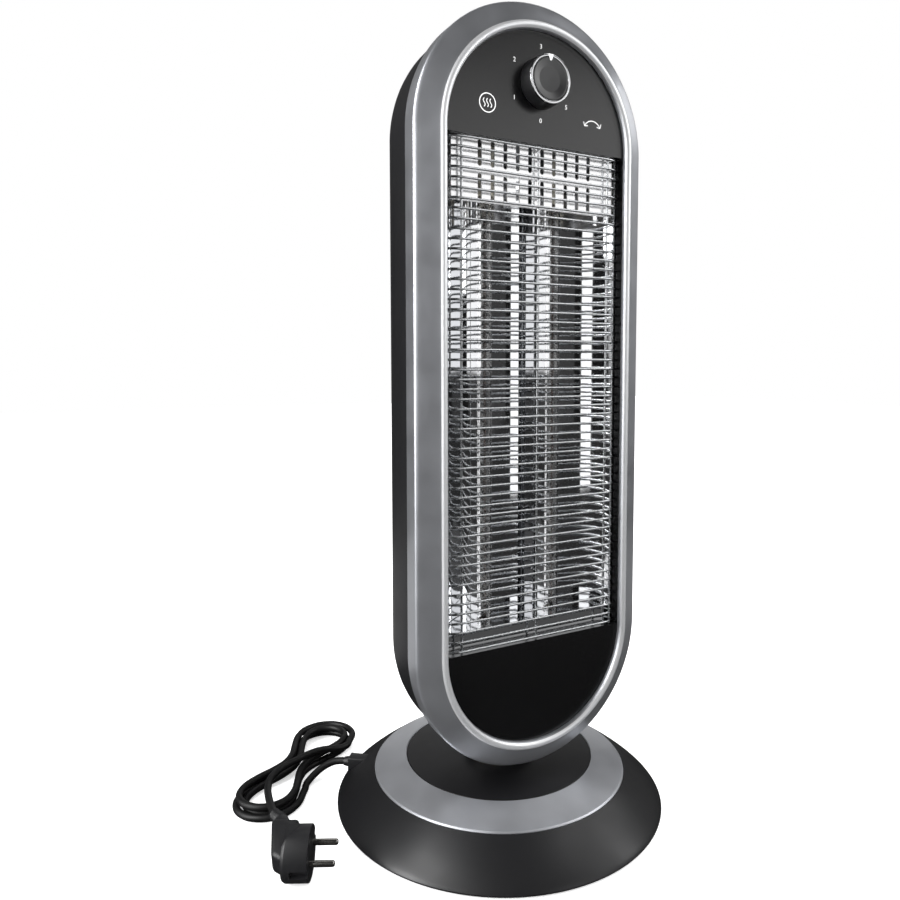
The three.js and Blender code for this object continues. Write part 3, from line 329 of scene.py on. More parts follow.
def extrude(move: Triple) -> None:
    """Extrudes what is selected by a move in mm."""
    bpy.ops.mesh.extrude_region_move(TRANSFORM_OT_translate={"value": tuple(way * MM for way in move)})


def end_edit(merge: bool = False) -> None:
    """Ends an edit: merges the points that meet, where asked, and turns all faces outwards."""
    bpy.ops.mesh.select_all(action="SELECT")
    if merge:
        bpy.ops.mesh.remove_doubles(threshold=MEETING)
    bpy.ops.mesh.normals_make_consistent(inside=False)
    bpy.ops.object.mode_set(mode="OBJECT")


def in_metres(to: Matrix) -> Matrix:
    """Gives the same turn and move, with the move in metres instead of mm."""
    return Matrix.Translation(to.to_translation() * MM) @ to.to_3x3().to_4x4()


def smooth_line(points: Sequence[Sequence[float]], parts: int) -> list[Vector]:
    """Runs a centripetal Catmull-Rom curve through points.

    Args:
        points: the places it passes, in two or three numbers each.
        parts: steps between two places.

    Returns:
        The points of the curve, in three numbers each.
    """
    def between(t: float, p: Vector, q: Vector, start: float, end: float) -> Vector:
        """Gives the point at t on the line that is at p at start and at q at end."""
        return p * ((end - t) / (end - start)) + q * ((t - start) / (end - start))

    places = [Vector((*p, 0.0)[:3]) for p in points]
    places = [2 * places[0] - places[1], *places, 2 * places[-1] - places[-2]]
    line = []
    for p0, p1, p2, p3 in zip(places, places[1:], places[2:], places[3:]):
        knots = [0.0]
        for here, after in ((p0, p1), (p1, p2), (p2, p3)):
            knots.append(knots[-1] + max((after - here).length, MEETING) ** 0.5)
        t0, t1, t2, t3 = knots
        for step in range(parts):
            t = t1 + (t2 - t1) * step / parts
            a1, a2, a3 = between(t, p0, p1, t0, t1), between(t, p1, p2, t1, t2), between(t, p2, p3, t2, t3)
            line.append(between(t, between(t, a1, a2, t0, t2), between(t, a2, a3, t1, t3), t1, t2))
    line.append(places[-2])
    return line


def rounded(corners: Sequence[Sequence[float]], steps: int = 4) -> list[Pair]:
    """Rounds the corners of an open profile.

    Args:
        corners: two numbers a corner, and a third, its rounding radius, where it has one.
        steps: steps in each rounding.

    Returns:
        The profile's points.
    """
    points: list[Pair] = []
    for i, corner in enumerate(corners):
        here = Vector(corner[:2])
        if len(corner) < 3 or i in (0, len(corners) - 1):
            points.append((here.x, here.y))
            continue
        back = (Vector(corners[i - 1][:2]) - here).normalized()
        ahead = (Vector(corners[i + 1][:2]) - here).normalized()
        half = back.angle(ahead) / 2
        reach = corner[2] / math.tan(half)
        middle = here + (back + ahead).normalized() * (corner[2] / math.sin(half))
        start = here + back * reach - middle
        end = here + ahead * reach - middle
        turn = start.angle_signed(end)
        for step in range(steps + 1):
            spoke = start.copy()
            spoke.rotate(Matrix.Rotation(-turn * step / steps, 2))
            points.append((middle.x + spoke.x, middle.y + spoke.y))
    return points


def turned(name: str, profile: Sequence[Pair], sides: int, centre: Triple = (0, 0, 0),
           to: Matrix | None = None, closed: bool = False) -> bpy.types.Object:
    """Turns a profile about the upright axis: a circle is extruded, scaled and moved ring by ring.

    Args:
        name: the piece's name.
        profile: (radius, height) points in mm; a first or last radius of 0 closes that end.
        sides: points in each ring.
        centre: where the axis stands, in mm.
        to: a turn and a move, in mm, for a piece that isn't upright.
        closed: whether the last point meets the first one.

    Returns:
        The piece.
    """
    rings = [(r, h) for r, h in profile if r > 0]
    first_radius, first_height = rings[0]
    piece = started(name, bpy.ops.mesh.primitive_circle_add, vertices=sides, radius=first_radius * MM,
                    location=(0, 0, first_height * MM))
    bpy.ops.object.mode_set(mode="EDIT")
    bpy.ops.mesh.select_all(action="SELECT")
    if profile[0][0] == 0:
        extrude((0, 0, profile[0][1] - first_height))
        bpy.ops.mesh.merge(type="CENTER")
        edit_points(piece, lambda v: math.hypot(v.co.x, v.co.y) > 0.5 * first_radius * MM)
    for (radius, height), (wider, higher) in zip(rings, rings[1:]):
        extrude((0, 0, higher - height))
        share = wider / radius
        bpy.ops.transform.resize(value=(share, share, 1), center_override=(0, 0, higher * MM))
    if profile[-1][0] == 0:
        extrude((0, 0, profile[-1][1] - rings[-1][1]))
        bpy.ops.mesh.merge(type="CENTER")
    end_edit(merge=closed)
    piece.data.transform(Matrix.Translation(Vector(centre) * MM) if to is None else in_metres(to))
    return piece


def slot_block(name: str, place: Pair, size: Pair, depth: Pair, sides: int = 24) -> bpy.types.Object:
    """Makes a block with round ends that lies along y: a circle is pulled apart, filled and extruded.

    Args:
        name: the piece's name.
        place: its middle in x and z, in mm.
        size: its width and height in mm.
        depth: where it starts and ends along y, in mm.
        sides: points round the two ends.

    Returns:
        The piece.
    """
    radius = min(size) / 2
    piece = started(name, bpy.ops.mesh.primitive_circle_add, vertices=sides, radius=radius * MM,
                    rotation=(0, 0, math.pi / sides))
    bpy.ops.object.mode_set(mode="EDIT")
    for sign in (-1, 1):
        edit_points(piece, lambda v, s=sign: s * v.co.x > 0)
        bpy.ops.transform.translate(value=(sign * (size[0] / 2 - radius) * MM, 0, 0))
        edit_points(piece, lambda v, s=sign: s * v.co.y > 0)
        bpy.ops.transform.translate(value=(0, sign * (size[1] / 2 - radius) * MM, 0))
    bpy.ops.mesh.select_all(action="SELECT")
    bpy.ops.mesh.edge_face_add()
    extrude((0, 0, depth[1] - depth[0]))
    end_edit()
    piece.data.transform(Matrix.Translation((place[0] * MM, depth[1] * MM, place[1] * MM)) @ FORWARDS)
    return piece


def prism(name: str, corners: Sequence[Triple], thickness: Triple) -> bpy.types.Object:
    """Makes a flat shape with a thickness: a filled outline is extruded.

    Args:
        name: the piece's name.
        corners: the outline's corners, in mm.
        thickness: the move from the outline to the other face, in mm.

    Returns:
        The piece.
    """
    piece = started(name, bpy.ops.mesh.primitive_circle_add, vertices=len(corners), radius=MM,
                    fill_type="NGON")
    for vertex, corner in zip(piece.data.vertices, corners):
        vertex.co = tuple(way * MM for way in corner)
    bpy.ops.object.mode_set(mode="EDIT")
    bpy.ops.mesh.select_all(action="SELECT")
    extrude(thickness)
    end_edit()
    return piece


def block(name: str, low: Triple, high: Triple, bevel: float = 0.0) -> bpy.types.Object:
    """Makes a block from its lowest to its highest corner, in mm, with rounded edges where bevel says so."""
    piece = started(name, bpy.ops.mesh.primitive_cube_add, (Vector(high) - Vector(low)) * MM, size=1,
                    location=(Vector(low) + Vector(high)) / 2 * MM)
    if bevel:
        bpy.ops.object.mode_set(mode="EDIT")
        bpy.ops.mesh.select_all(action="SELECT")
        bpy.ops.mesh.bevel(offset=bevel * MM, segments=3, affect="EDGES")
        bpy.ops.object.mode_set(mode="OBJECT")
    return piece


def tube(name: str, path: Sequence[Vector], radius: float, detail: int,
         radii: Sequence[float] = ()) -> bpy.types.Object:
    """Makes a round tube along a path, from a curve that is given a section and turned into a mesh.

    Args:
        name: the piece's name.
        path: its points in mm.
        radius: its radius in mm.
        detail: how finely its section is divided.
        radii: a share of the radius for each point, for a tube that tapers.

    Returns:
        The piece.
    """
    curve = bpy.data.curves.new(name, "CURVE")
    curve.dimensions = "3D"
    curve.bevel_depth = radius * MM
    curve.bevel_resolution = detail
    curve.use_fill_caps = True
    spline = curve.splines.new("POLY")
    spline.points.add(len(path) - 1)
    for i, place in enumerate(path):
        spline.points[i].co = (*(Vector(place) * MM), 1.0)
        spline.points[i].radius = radii[i] if radii else 1.0
    piece = bpy.data.objects.new(name, curve)
    bpy.context.scene.collection.objects.link(piece)
    only(piece)
    bpy.ops.object.convert(target="MESH")
    bpy.ops.object.mode_set(mode="EDIT")
    end_edit(merge=True)
    return piece


def joined(pieces: Sequence[bpy.types.Object]) -> bpy.types.Object:
    """Joins pieces into the first one."""
    only(pieces[0])
    for piece in pieces[1:]:
        piece.select_set(True)
    bpy.ops.object.join()
    return bpy.context.object


def modified(piece: bpy.types.Object, kind: str, **settings: Any) -> None:
    """Gives a piece a modifier with its settings and applies it."""
    only(piece)
    modifier = piece.modifiers.new(kind.lower(), kind)
    for key, value in settings.items():
        setattr(modifier, key, value)
    bpy.ops.object.modifier_apply(modifier=modifier.name)


def combined(piece: bpy.types.Object, tool: bpy.types.Object, way: str) -> None:
    """Cuts or unites a piece with a tool, applies it and takes the tool away.

    Args:
        piece: the piece that stays.
        tool: the piece that is used up.
        way: DIFFERENCE or UNION.
    """
    modified(piece, "BOOLEAN", operation=way, object=tool, solver="EXACT")
    bpy.data.objects.remove(tool, do_unlink=True)


def finish_piece(piece: bpy.types.Object, body: str, surface: Surfaces, nodes: Iterable[str] = (),
                 smooth: float = 40) -> bpy.types.Object:
    """Dresses a piece and lets it ride on its body.

    Args:
        piece: the finished mesh.
        body: the body that carries it.
        surface: its finish.
        nodes: the plain solids that it stands for.
        smooth: edges sharper than this many degrees stay crisp; 0 leaves all of them.

    Returns:
        The piece.
    """
    only(piece)
    bpy.ops.object.transform_apply(location=True, rotation=True, scale=True)
    if smooth:
        bpy.ops.object.shade_smooth_by_angle(angle=math.radians(smooth))
    piece.data.materials.clear()
    piece.data.materials.append(surface.value.make())
    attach(piece, body)
    if nodes:
        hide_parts(*nodes)
    LOG.info("%s: %d faces, %s, on %s", piece.name, len(piece.data.polygons), surface.name.lower(), body)
    return piece


# ---- Base ----


@dataclass
class Base:
    """The round foot: dome, trim ring, deck and screws. Sizes are in mm."""

    radius: float = 143.8
    rim_floor: float = 1.2
    rim_edge: float = 2.2
    floor: float = 3.0
    ring_radius: float = 111.0
    ring_height: float = 29.7
    ring_sheet: float = 1.2
    ring_rise: float = 0.6  # how far the ring stands above the slope of its seat
    seat_drop: float = 1.5
    deck_radius: float = 82.4
    deck_height: float = 38.9
    deck_bore: float = 14.0
    boss_wall: float = 5.0
    boss_foot: float = 31.0
    wall: float = 2.5
    rim_wall: float = 3.2
    lip: float = 8.4  # how far the ledge under the deck reaches inwards
    dome_power: float = 1.2
    dome_steps: int = 24
    gland_azimuth: float = 141.0  # degrees
    gland_height: float = 14.8
    gland_side: float = 11.5
    gland_hole: Pair = (116, 152)  # where the cut for the gland starts and ends, from the axis
    screw_circle: float = 70.0
    screw_count: int = 3
    screw_azimuth: float = 150.0  # degrees, of the first one
    sides: int = 160

    def dome_radius(self, height: float) -> float:
        """Gives the dome's radius at a height."""
        start = self.rim_floor + self.rim_edge
        rise = min(max((height - start) / (self.ring_height - start), 0.0), 1.0)
        return self.ring_radius + (self.radius - self.ring_radius) * (1 - rise ** self.dome_power)

    def ring_surface(self, radius: float) -> float:
        """Gives the height of the sloping seat of the trim ring at a radius."""
        inner = self.deck_radius + GAP
        return self.ring_height + (self.ring_radius - radius) * (self.deck_height - self.ring_height) \
            / (self.ring_radius - inner)

    def cover(self) -> None:
        """Builds the dome with its rounded rim, the seat of the ring and the hole of the gland."""
        start = self.rim_floor + self.rim_edge
        rim = [(self.radius - self.rim_edge * (1 - math.cos(a)), start + self.rim_edge * math.sin(a))
               for a in (math.radians(-90 + 15 * i) for i in range(6))]
        top = self.ring_height - GAP
        heights = [start + (top - start) * i / self.dome_steps for i in range(self.dome_steps + 1)]
        seat_out, seat_in = self.ring_radius + GAP, self.deck_radius + 2 * GAP
        outer = [(max(self.dome_radius(h), seat_out), h) for h in heights]
        inside = self.radius - self.rim_wall
        lip = self.deck_radius - self.lip
        lip_top = self.deck_height - self.wall - GAP
        inner = [(self.dome_radius(h) - self.rim_wall, h) for h in reversed(heights[:-6])]
        profile = [
            *rim, *outer,
            (seat_out, self.ring_surface(seat_out) - self.seat_drop),
            (seat_in, self.ring_surface(seat_in) - self.seat_drop),
            (seat_in, lip_top), (lip, lip_top), (lip, lip_top - self.wall), (seat_in, lip_top - self.wall),
            (seat_out - self.wall, self.ring_surface(seat_out) - self.seat_drop - self.wall),
            *inner, (inside, self.floor + self.wall + GAP), (inside, self.rim_floor), rim[0],
        ]
        piece = turned("base_dome", profile, self.sides, closed=True)
        half = self.gland_side / 2 + GAP
        near, far = self.gland_hole
        tool = block("gland_hole", (near, -half, self.gland_height - half),
                     (far, half, self.gland_height + half))
        tool.data.transform(Matrix.Rotation(math.radians(self.gland_azimuth), 4, "Z"))
        combined(piece, tool, "DIFFERENCE")
        finish_piece(piece, "base", Surfaces.SATIN_ABS, ["base_cover"], smooth=30)

    def ring(self) -> None:
        """Builds the lacquered trim ring with the bright chamfer round its outer edge."""
        inner, outer = self.deck_radius + GAP, self.ring_radius
        shoulder, crown = outer - 1.2, inner + 0.7
        foot = (outer, self.ring_height - self.ring_sheet)
        inner_foot = (inner, self.ring_surface(inner) - self.ring_sheet)
        upper = rounded([
            foot, (outer, self.ring_height, 0.25),
            (shoulder, self.ring_surface(shoulder) + self.ring_rise, 0.9),
            (crown, self.ring_surface(crown) + self.ring_rise, 0.45),
            (inner, self.ring_surface(inner) - 0.2),
        ])
        piece = turned("trim_ring_shell", [inner_foot, foot, *upper[1:], inner_foot], self.sides, closed=True)
        # The ring wears a paler copy of the bezel's lacquer: painted light on a surface that faces up.
        finish_piece(piece, "base", Surfaces.SILVER_RING, ["trim_ring"], smooth=50)

    def deck(self) -> None:
        """Builds the black disc in the ring, with the bearing boss below it."""
        bore, boss = self.deck_bore, self.deck_bore + self.boss_wall
        top, under = self.deck_height, self.deck_height - self.wall
        edge = rounded([(boss, under), (self.deck_radius, under, 0.3), (self.deck_radius, top, 0.6),
                        (bore, top)])
        profile = [(bore, top), (bore, self.boss_foot), (boss, self.boss_foot), (boss, under), *edge[1:]]
        piece = turned("deck_disc", profile, self.sides, closed=True)
        finish_piece(piece, "base", Surfaces.SATIN_ABS, ["base_deck"], smooth=50)

    def screws(self) -> None:
        """Builds the screws that hold the bottom plate."""
        for i in range(self.screw_count):
            angle = 2 * math.pi * i / self.screw_count + math.radians(self.screw_azimuth)
            place = (self.screw_circle * math.cos(angle), self.screw_circle * math.sin(angle))
            to = Matrix.Translation((*place, self.floor - GAP)) @ Matrix.Rotation(math.pi, 4, "X")
            screw(f"plate_screw_{i + 1}", to, "base", f"base_screw_{i + 1}")

    def build(self) -> None:
        """Builds the whole foot."""
        self.cover()
        self.ring()
        self.deck()
        self.screws()


def screw(name: str, to: Matrix, body: str, node: str) -> None:
    """Builds a pan-head screw with a cross recess: its head's seat at the origin, its shank below.

    Args:
        name: the piece's name.
        to: turn and place, in mm.
        body: the body that carries it.
        node: the plain solid that it stands for.
    """
    tip, shank, head, crown = -9.2, 1.7, 3.6, 1.8
    profile = rounded([(shank, tip), (shank, 0), (head, 0, 0.2), (head, 1.1, 0.3), (2.6, crown, 0.8),
                       (AXIS, crown)], 3)
    piece = turned(name, [(0, tip), *profile, (0, crown)], 32)
    for wide, deep in ((2.1, 0.45), (0.45, 2.1)):
        combined(piece, block("recess", (-wide, -deep, 0.8), (wide, deep, 3)), "DIFFERENCE")
    piece.data.transform(in_metres(to))
    finish_piece(piece, body, Surfaces.ZINC_STEEL, [node], smooth=35)


# ---- Head ----


@dataclass
class Outline:
    """The head's outline: two half circles joined by straight sides. Sizes are in mm."""

    low: float = 160.4
    high: float = 562.0
    sides: int = 144

    def sweep(self, name: str, profile: Sequence[Pair], closed: bool, fill: bool = False) -> bpy.types.Object:
        """Sweeps a profile round the outline: a circle is pulled apart and extruded ring by ring.

        Args:
            name: the piece's name.
            profile: (distance from the spine, y) points in mm.
            closed: whether the last point meets the first one.
            fill: whether the first and last rings are filled flat.

        Returns:
            The piece.
        """
        radius, start = profile[0]
        piece = started(name, bpy.ops.mesh.primitive_circle_add, vertices=self.sides, radius=radius * MM,
                        rotation=(0, 0, math.pi / self.sides))
        piece.data.transform(Matrix.Translation((0, start * MM, self.low * MM)) @ FORWARDS)
        bpy.ops.object.mode_set(mode="EDIT")
        edit_points(piece, lambda v: v.co.z > self.low * MM)
        bpy.ops.transform.translate(value=(0, 0, (self.high - self.low) * MM))
        bpy.ops.mesh.select_all(action="SELECT")
        if fill:
            bpy.ops.mesh.edge_face_add()
            bpy.ops.mesh.select_all(action="SELECT")
            bpy.ops.mesh.select_mode(type="EDGE")
            bpy.ops.mesh.region_to_loop()
            bpy.ops.mesh.select_mode(type="VERT")
        middle = (self.low + self.high) / 2 * MM
        for (wide, _), (wider, y) in zip(profile, profile[1:]):
            bpy.ops.mesh.extrude_edges_move()
            verts = bmesh.from_edit_mesh(piece.data).verts
            ring = {v.index for v in verts if v.select}
            depth = next(v.co.y for v in verts if v.select)
            share = wider / wide
            for centre, upper in ((self.high, True), (self.low, False)):
                edit_points(piece, lambda v, u=upper: v.index in ring and (v.co.z > middle) == u)
                bpy.ops.transform.resize(value=(share, 1, share), center_override=(0, 0, centre * MM))
            edit_points(piece, lambda v: v.index in ring)
            bpy.ops.transform.translate(value=(0, y * MM - depth, 0))
        if fill:
            bpy.ops.mesh.edge_face_add()
        end_edit(merge=closed)
        return piece


@dataclass
class Head:
    """The tall oval head: bezel, rear shell, neck and screws. Sizes are in mm."""

    outline: Outline = field(default_factory=Outline)
    back: float = 20.2
    seam: float = -39.8
    wall: float = 2.5
    half_width: float = 105.5
    draft: float = 1.2
    corner: float = 30.0
    vent_size: Pair = (46.0, 4.5)
    vent_column: float = 34.0
    vent_pitch: float = 14.0
    vent_inset: float = 78.0
    vent_rows: int = 5
    cut: Pair = (8.0, 30.0)  # where the cuts through the back start and end along y
    bottom: float = 52.5
    top: float = 669.9
    screw_place: Pair = (55.0, 114.5)
    screw_hole: float = 4.0
    ridge: float = -65.0  # in front of here the bezel has the paler lacquer that is a painted highlight
    neck_bore: float = 10.3
    neck_foot: float = 40.5
    neck_radius: float = 31.0
    neck_waist: float = 17.5
    neck_top: float = 77.0
    flare_foot: float = 43.5
    flare_rise: float = 9.0
    flare_steps: int = 10

    def bezel(self) -> None:
        """Builds the lacquered frame: side band, rounded shoulder, sloping face and the ridge, lacquered
        paler as a painted highlight.
        """
        face = smooth_line([
            (107.9, -52.4), (107.9, -53.8), (107.4, -55.0), (106.3, -56.1), (104.6, -57.2), (97.7, -61.05),
            (91.3, -64.6), (90.2, -65.4), (89.1, -66.4), (87.7, -66.8), (86.4, -66.45), (85.3, -65.5),
            (84.5, -64.0), (84.2, -61.8),
        ], 3)
        rear = (105.4, self.seam)
        profile = [
            rear, *rounded([rear, (107.7, self.seam, 0.4), (107.9, -52.4)], 3)[1:-1],
            *[(p.x, p.y) for p in face], (91.2, -61.8), (103.2, -55.1), (105.4, -52.8), rear,
        ]
        piece = self.outline.sweep("bezel_frame", profile, closed=True)
        finish_piece(piece, "head", Surfaces.SILVER_LACQUER, ["bezel"], smooth=38)
        # The ridge's front gets a paler copy of the lacquer: a painted highlight.
        piece.data.materials.append(Surfaces.BRIGHT_RIDGE.value.make())
        only(piece)
        piece.active_material_index = 1
        bpy.ops.object.mode_set(mode="EDIT")
        edit_points(piece, lambda v: v.co.y < self.ridge * MM)
        bpy.ops.object.material_slot_assign()
        bpy.ops.object.mode_set(mode="OBJECT")

    def side(self, depth: float, front: float, steps: int = 12) -> list[Pair]:
        """Gives the rear shell's side, from the back to the seam.

        Args:
            depth: how far inside the outer surface it runs, in mm.
            front: where it ends along y.
            steps: steps in the round corner.

        Returns:
            (distance from the spine, y) points.
        """
        radius = self.corner - depth
        middle = (self.half_width - self.draft - self.corner, self.back - self.corner)
        arc = [(middle[0] + radius * math.sin(a), middle[1] + radius * math.cos(a))
               for a in (math.pi / 2 * i / steps for i in range(steps + 1))]
        return [*arc, (self.half_width - depth, front)]

    def shell(self) -> None:
        """Builds the hollow rear shell and cuts its air slots and screw holes."""
        front = self.seam + GAP
        outer, inner = self.side(0, front), self.side(self.wall, front)
        lip = rounded([outer[-2], (self.half_width, front, 0.5), (self.half_width - self.wall, front)], 3)
        profile = [*outer[:-1], *lip[1:-1], *reversed(inner)]
        piece = self.outline.sweep("rear_shell", profile, closed=False, fill=True)
        starts = ((self.bottom + self.vent_inset, self.vent_pitch),
                  (self.top - self.vent_inset, -self.vent_pitch))
        places = [(x, start + row * step) for start, step in starts for row in range(self.vent_rows)
                  for x in (-self.vent_column, self.vent_column)]
        slots = [slot_block(f"slot_{i}", place, self.vent_size, self.cut) for i, place in enumerate(places)]
        combined(piece, joined(slots), "DIFFERENCE")
        across, height = self.screw_place
        holes = [slot_block(f"hole_{s}", (s * across, height), (self.screw_hole, self.screw_hole), self.cut)
                 for s in (-1, 1)]
        combined(piece, joined(holes), "DIFFERENCE")
        finish_piece(piece, "head", Surfaces.SATIN_ABS, ["rear_housing"], smooth=30)

    def collar(self) -> None:
        """Builds the flared neck and trims its top to the head's rounded lower end."""
        wide, narrow, steps = self.neck_radius, self.neck_waist, self.flare_steps
        flare = [(wide - (wide - narrow) * math.sin(a), self.flare_foot + self.flare_rise * (1 - math.cos(a)))
                 for a in (math.pi / 2 * i / steps for i in range(steps + 1))]
        foot = (self.neck_bore, self.neck_foot)
        edge = rounded([foot, (wide, self.neck_foot, 0.5), flare[1]], 3)[1:-1]
        profile = [foot, *edge, *flare, (narrow, self.neck_top), (self.neck_bore, self.neck_top), foot]
        piece = turned("neck", profile, 96, closed=True)
        around = [(x + GAP, y) for x, y in self.side(0, self.seam - 20)]
        tool = self.outline.sweep("head_form", [(around[0][0], self.back + GAP), *around[1:]], closed=False,
                                  fill=True)
        combined(piece, tool, "DIFFERENCE")
        finish_piece(piece, "head", Surfaces.SATIN_ABS, ["neck_collar"], smooth=40)

    def screws(self) -> None:
        """Builds the two screws of the rear shell."""
        across, height = self.screw_place
        for i, sign in enumerate((-1, 1)):
            to = Matrix.Translation((sign * across, self.back + GAP, height))
            to = to @ Matrix.Rotation(-math.pi / 2, 4, "X")
            screw(f"shell_screw_{i + 1}", to, "head", f"rear_screw_{i + 1}")

    def build(self) -> None:
        """Builds the head's shells and screws."""
        self.bezel()
        self.shell()
        self.collar()
        self.screws()


# ---- Heating bay ----


@dataclass
class Bay:
    """The heating bay: reflector, tubes, holders, heating wire and guard. Sizes are in mm."""

    bottom: float = 159.5
    top: float = 559.5
    shelf_top: float = 174.4
    sheet: float = 1.0
    trough_reach: float = 82.9
    trough_back: float = -13.0
    trough_spread: float = 64.5  # the troughs' curve: distance squared over this is its rise
    trough_steps: int = 120
    flange: Pair = (86.4, -50.6)
    tube_x: float = 33.8
    tube_y: float = -31.8
    tube_radius: float = 6.0
    tube_bore: float = 4.8
    tube_low: float = 162.0
    tube_high: float = 540.2
    holder_reach: float = 19.7
    cap_radius: float = 8.5
    groove_depth: float = 1.2
    wire_radius: float = 1.0
    wire_front: float = -60.3
    wire_first: float = 161.8
    wire_pitch: float = 7.603
    wire_count: int = 53
    front_rails: Triple = (-70.0, 0.0, 70.0)
    front_rail_y: float = -58.8
    front_rail_past: float = 2.0  # past the first and the last wire
    side_rails: Pair = (-82.7, 82.7)
    side_rail_y: float = -52.4
    side_rail_inset: float = 0.4  # inside the bay's ends
    coil_radius: float = 1.35
    coil_wire: float = 0.3
    coil_pitch: float = 1.5
    coil_sides: int = 8
    coil_ends: Triple = (1.0, 13.0, 15.0)  # from the tube's end: the wire, its bend and its first turn

    def reflector(self) -> None:
        """Builds the two polished troughs: an edge is extruded along their section and thickened."""
        reach, steps = self.trough_reach, self.trough_steps
        xs = [-reach + 2 * reach * i / steps for i in range(steps + 1)]
        troughs = [(x, self.trough_back - (abs(x) - self.tube_x) ** 2 / self.trough_spread) for x in xs]
        edge_x, edge_y = self.flange
        line = [(-edge_x, edge_y), *troughs, self.flange]
        low, high = self.bottom + GAP, self.top - GAP
        start_x, width = -edge_x * MM, 10 * MM
        piece = started("reflector_sheet", bpy.ops.mesh.primitive_plane_add, (width, (high - low) * MM, 1),
                        size=1, location=(start_x, edge_y * MM, (low + high) / 2 * MM),
                        rotation=(math.pi / 2, 0, 0))
        bpy.ops.object.mode_set(mode="EDIT")
        edit_points(piece, lambda v: v.co.x > start_x)
        bpy.ops.mesh.delete(type="VERT")
        bpy.ops.mesh.select_all(action="SELECT")
        bpy.ops.transform.translate(value=(width / 2, 0, 0))
        for (x0, y0), (x1, y1) in zip(line, line[1:]):
            step = ((x1 - x0) * MM, (y1 - y0) * MM, 0)
            bpy.ops.mesh.extrude_edges_move(TRANSFORM_OT_translate={"value": step})
        end_edit()
        if piece.data.polygons[steps // 2].normal.y > 0:
            piece.data.flip_normals()
        modified(piece, "SOLIDIFY", thickness=self.sheet * MM, offset=-1)
        finish_piece(piece, "head", Surfaces.REFLECTOR_SHEET, ["reflector"], smooth=30)

    def tubes(self) -> None:
        """Builds the quartz tubes, the heating coils in them and the ceramic holders at their ends."""
        low, high, bore, radius = self.tube_low, self.tube_high, self.tube_bore, self.tube_radius
        for side, x in (("left", -self.tube_x), ("right", self.tube_x)):
            centre = (x, self.tube_y, 0)
            wall = [(bore, low), (radius, low), (radius, high), (bore, high), (bore, low)]
            piece = turned(f"quartz_tube_{side}", wall, 48, centre, closed=True)
            finish_piece(piece, "head", Surfaces.QUARTZ, [f"tube_{side}"])
            self.coil(side, x)
            self.holder(f"lower_holder_{side}", f"lower_cap_{side}", centre, -1, low)
            self.holder(f"upper_holder_{side}", f"upper_cap_{side}", centre, 1, high)

    def coil(self, side: str, x: float) -> None:
        """Builds one heating coil between its two straight ends."""
        low, high = self.tube_low, self.tube_high
        end, straight, first = self.coil_ends
        turns = int((high - low - 2 * first) / self.coil_pitch)
        path = [Vector((x, self.tube_y, low + end)), Vector((x, self.tube_y, low + straight))]
        for i in range(turns * self.coil_sides + 1):
            angle = 2 * math.pi * i / self.coil_sides
            path.append(Vector((x + self.coil_radius * math.cos(angle),
                                self.tube_y + self.coil_radius * math.sin(angle),
                                low + first + self.coil_pitch * i / self.coil_sides)))
        path += [Vector((x, self.tube_y, high - straight)), Vector((x, self.tube_y, high - end))]
        piece = tube(f"heating_coil_{side}", path, self.coil_wire, 0)
        finish_piece(piece, "head", Surfaces.HEATING_WIRE, [f"filament_{side}"], smooth=80)

    def holder(self, name: str, node: str, centre: Triple, end: int, seat: float) -> None:
        """Builds a ceramic holder: a cup with a groove round it that takes the tube's end.

        Args:
            name: the piece's name.
            node: the plain solid that it stands for.
            centre: the tube's axis.
            end: -1 at the lower end of the tube and 1 at the upper end.
            seat: the height of the tube's end.
        """
        foot = self.bottom + GAP if end < 0 else self.top - GAP
        mouth = self.shelf_top - self.sheet - GAP if end < 0 else seat - self.holder_reach
        outer, waist = self.cap_radius, self.cap_radius - self.groove_depth
        inner, floor = self.tube_radius + GAP, seat + end * GAP
        groove = (seat + mouth) / 2
        cup = rounded([
            (AXIS, foot), (outer, foot, 0.5), (outer, groove + end * 2, 0.3), (waist, groove + end, 0.3),
            (waist, groove - end, 0.3), (outer, groove - end * 2, 0.3), (outer, mouth, 0.8),
            (inner, mouth, 0.4), (inner, floor),
        ], 3)
        piece = turned(name, [(0, foot), *cup[1:], (0, floor)], 40, centre)
        finish_piece(piece, "head", Surfaces.CERAMIC, [node], smooth=40)

    def guard(self) -> None:
        """Builds the wire guard: one bent wire repeated, with its rails behind."""
        half = smooth_line([(60.0, self.wire_front), (70.0, self.wire_front), (76.0, -59.3), (80.2, -56.6),
                            (82.2, -53.2), (82.7, -51.6)], 4)
        right = [Vector((p.x, p.y, self.wire_first)) for p in half]
        path = [Vector((-p.x, p.y, p.z)) for p in reversed(right)] + right
        wire = tube("guard_wires", path, self.wire_radius, 3)
        modified(wire, "ARRAY", count=self.wire_count, use_relative_offset=False, use_constant_offset=True,
                 constant_offset_displace=(0, 0, self.wire_pitch * MM))
        last = self.wire_first + (self.wire_count - 1) * self.wire_pitch
        past, inset = self.front_rail_past, self.side_rail_inset
        rows = ((self.front_rails, self.front_rail_y, self.wire_first - past, last + past),
                (self.side_rails, self.side_rail_y, self.bottom + inset, self.top - inset))
        rails = [tube(f"rail_{x}", [Vector((x, y, low)), Vector((x, y, high))], self.wire_radius, 3)
                 for xs, y, low, high in rows for x in xs]
        finish_piece(joined([wire, *rails]), "head", Surfaces.BRIGHT_WIRE, ["grille"], smooth=60)

    def build(self) -> None:
        """Builds all that stands in the bay."""
        self.reflector()
        self.tubes()
        self.guard()


# ---- Dial ----


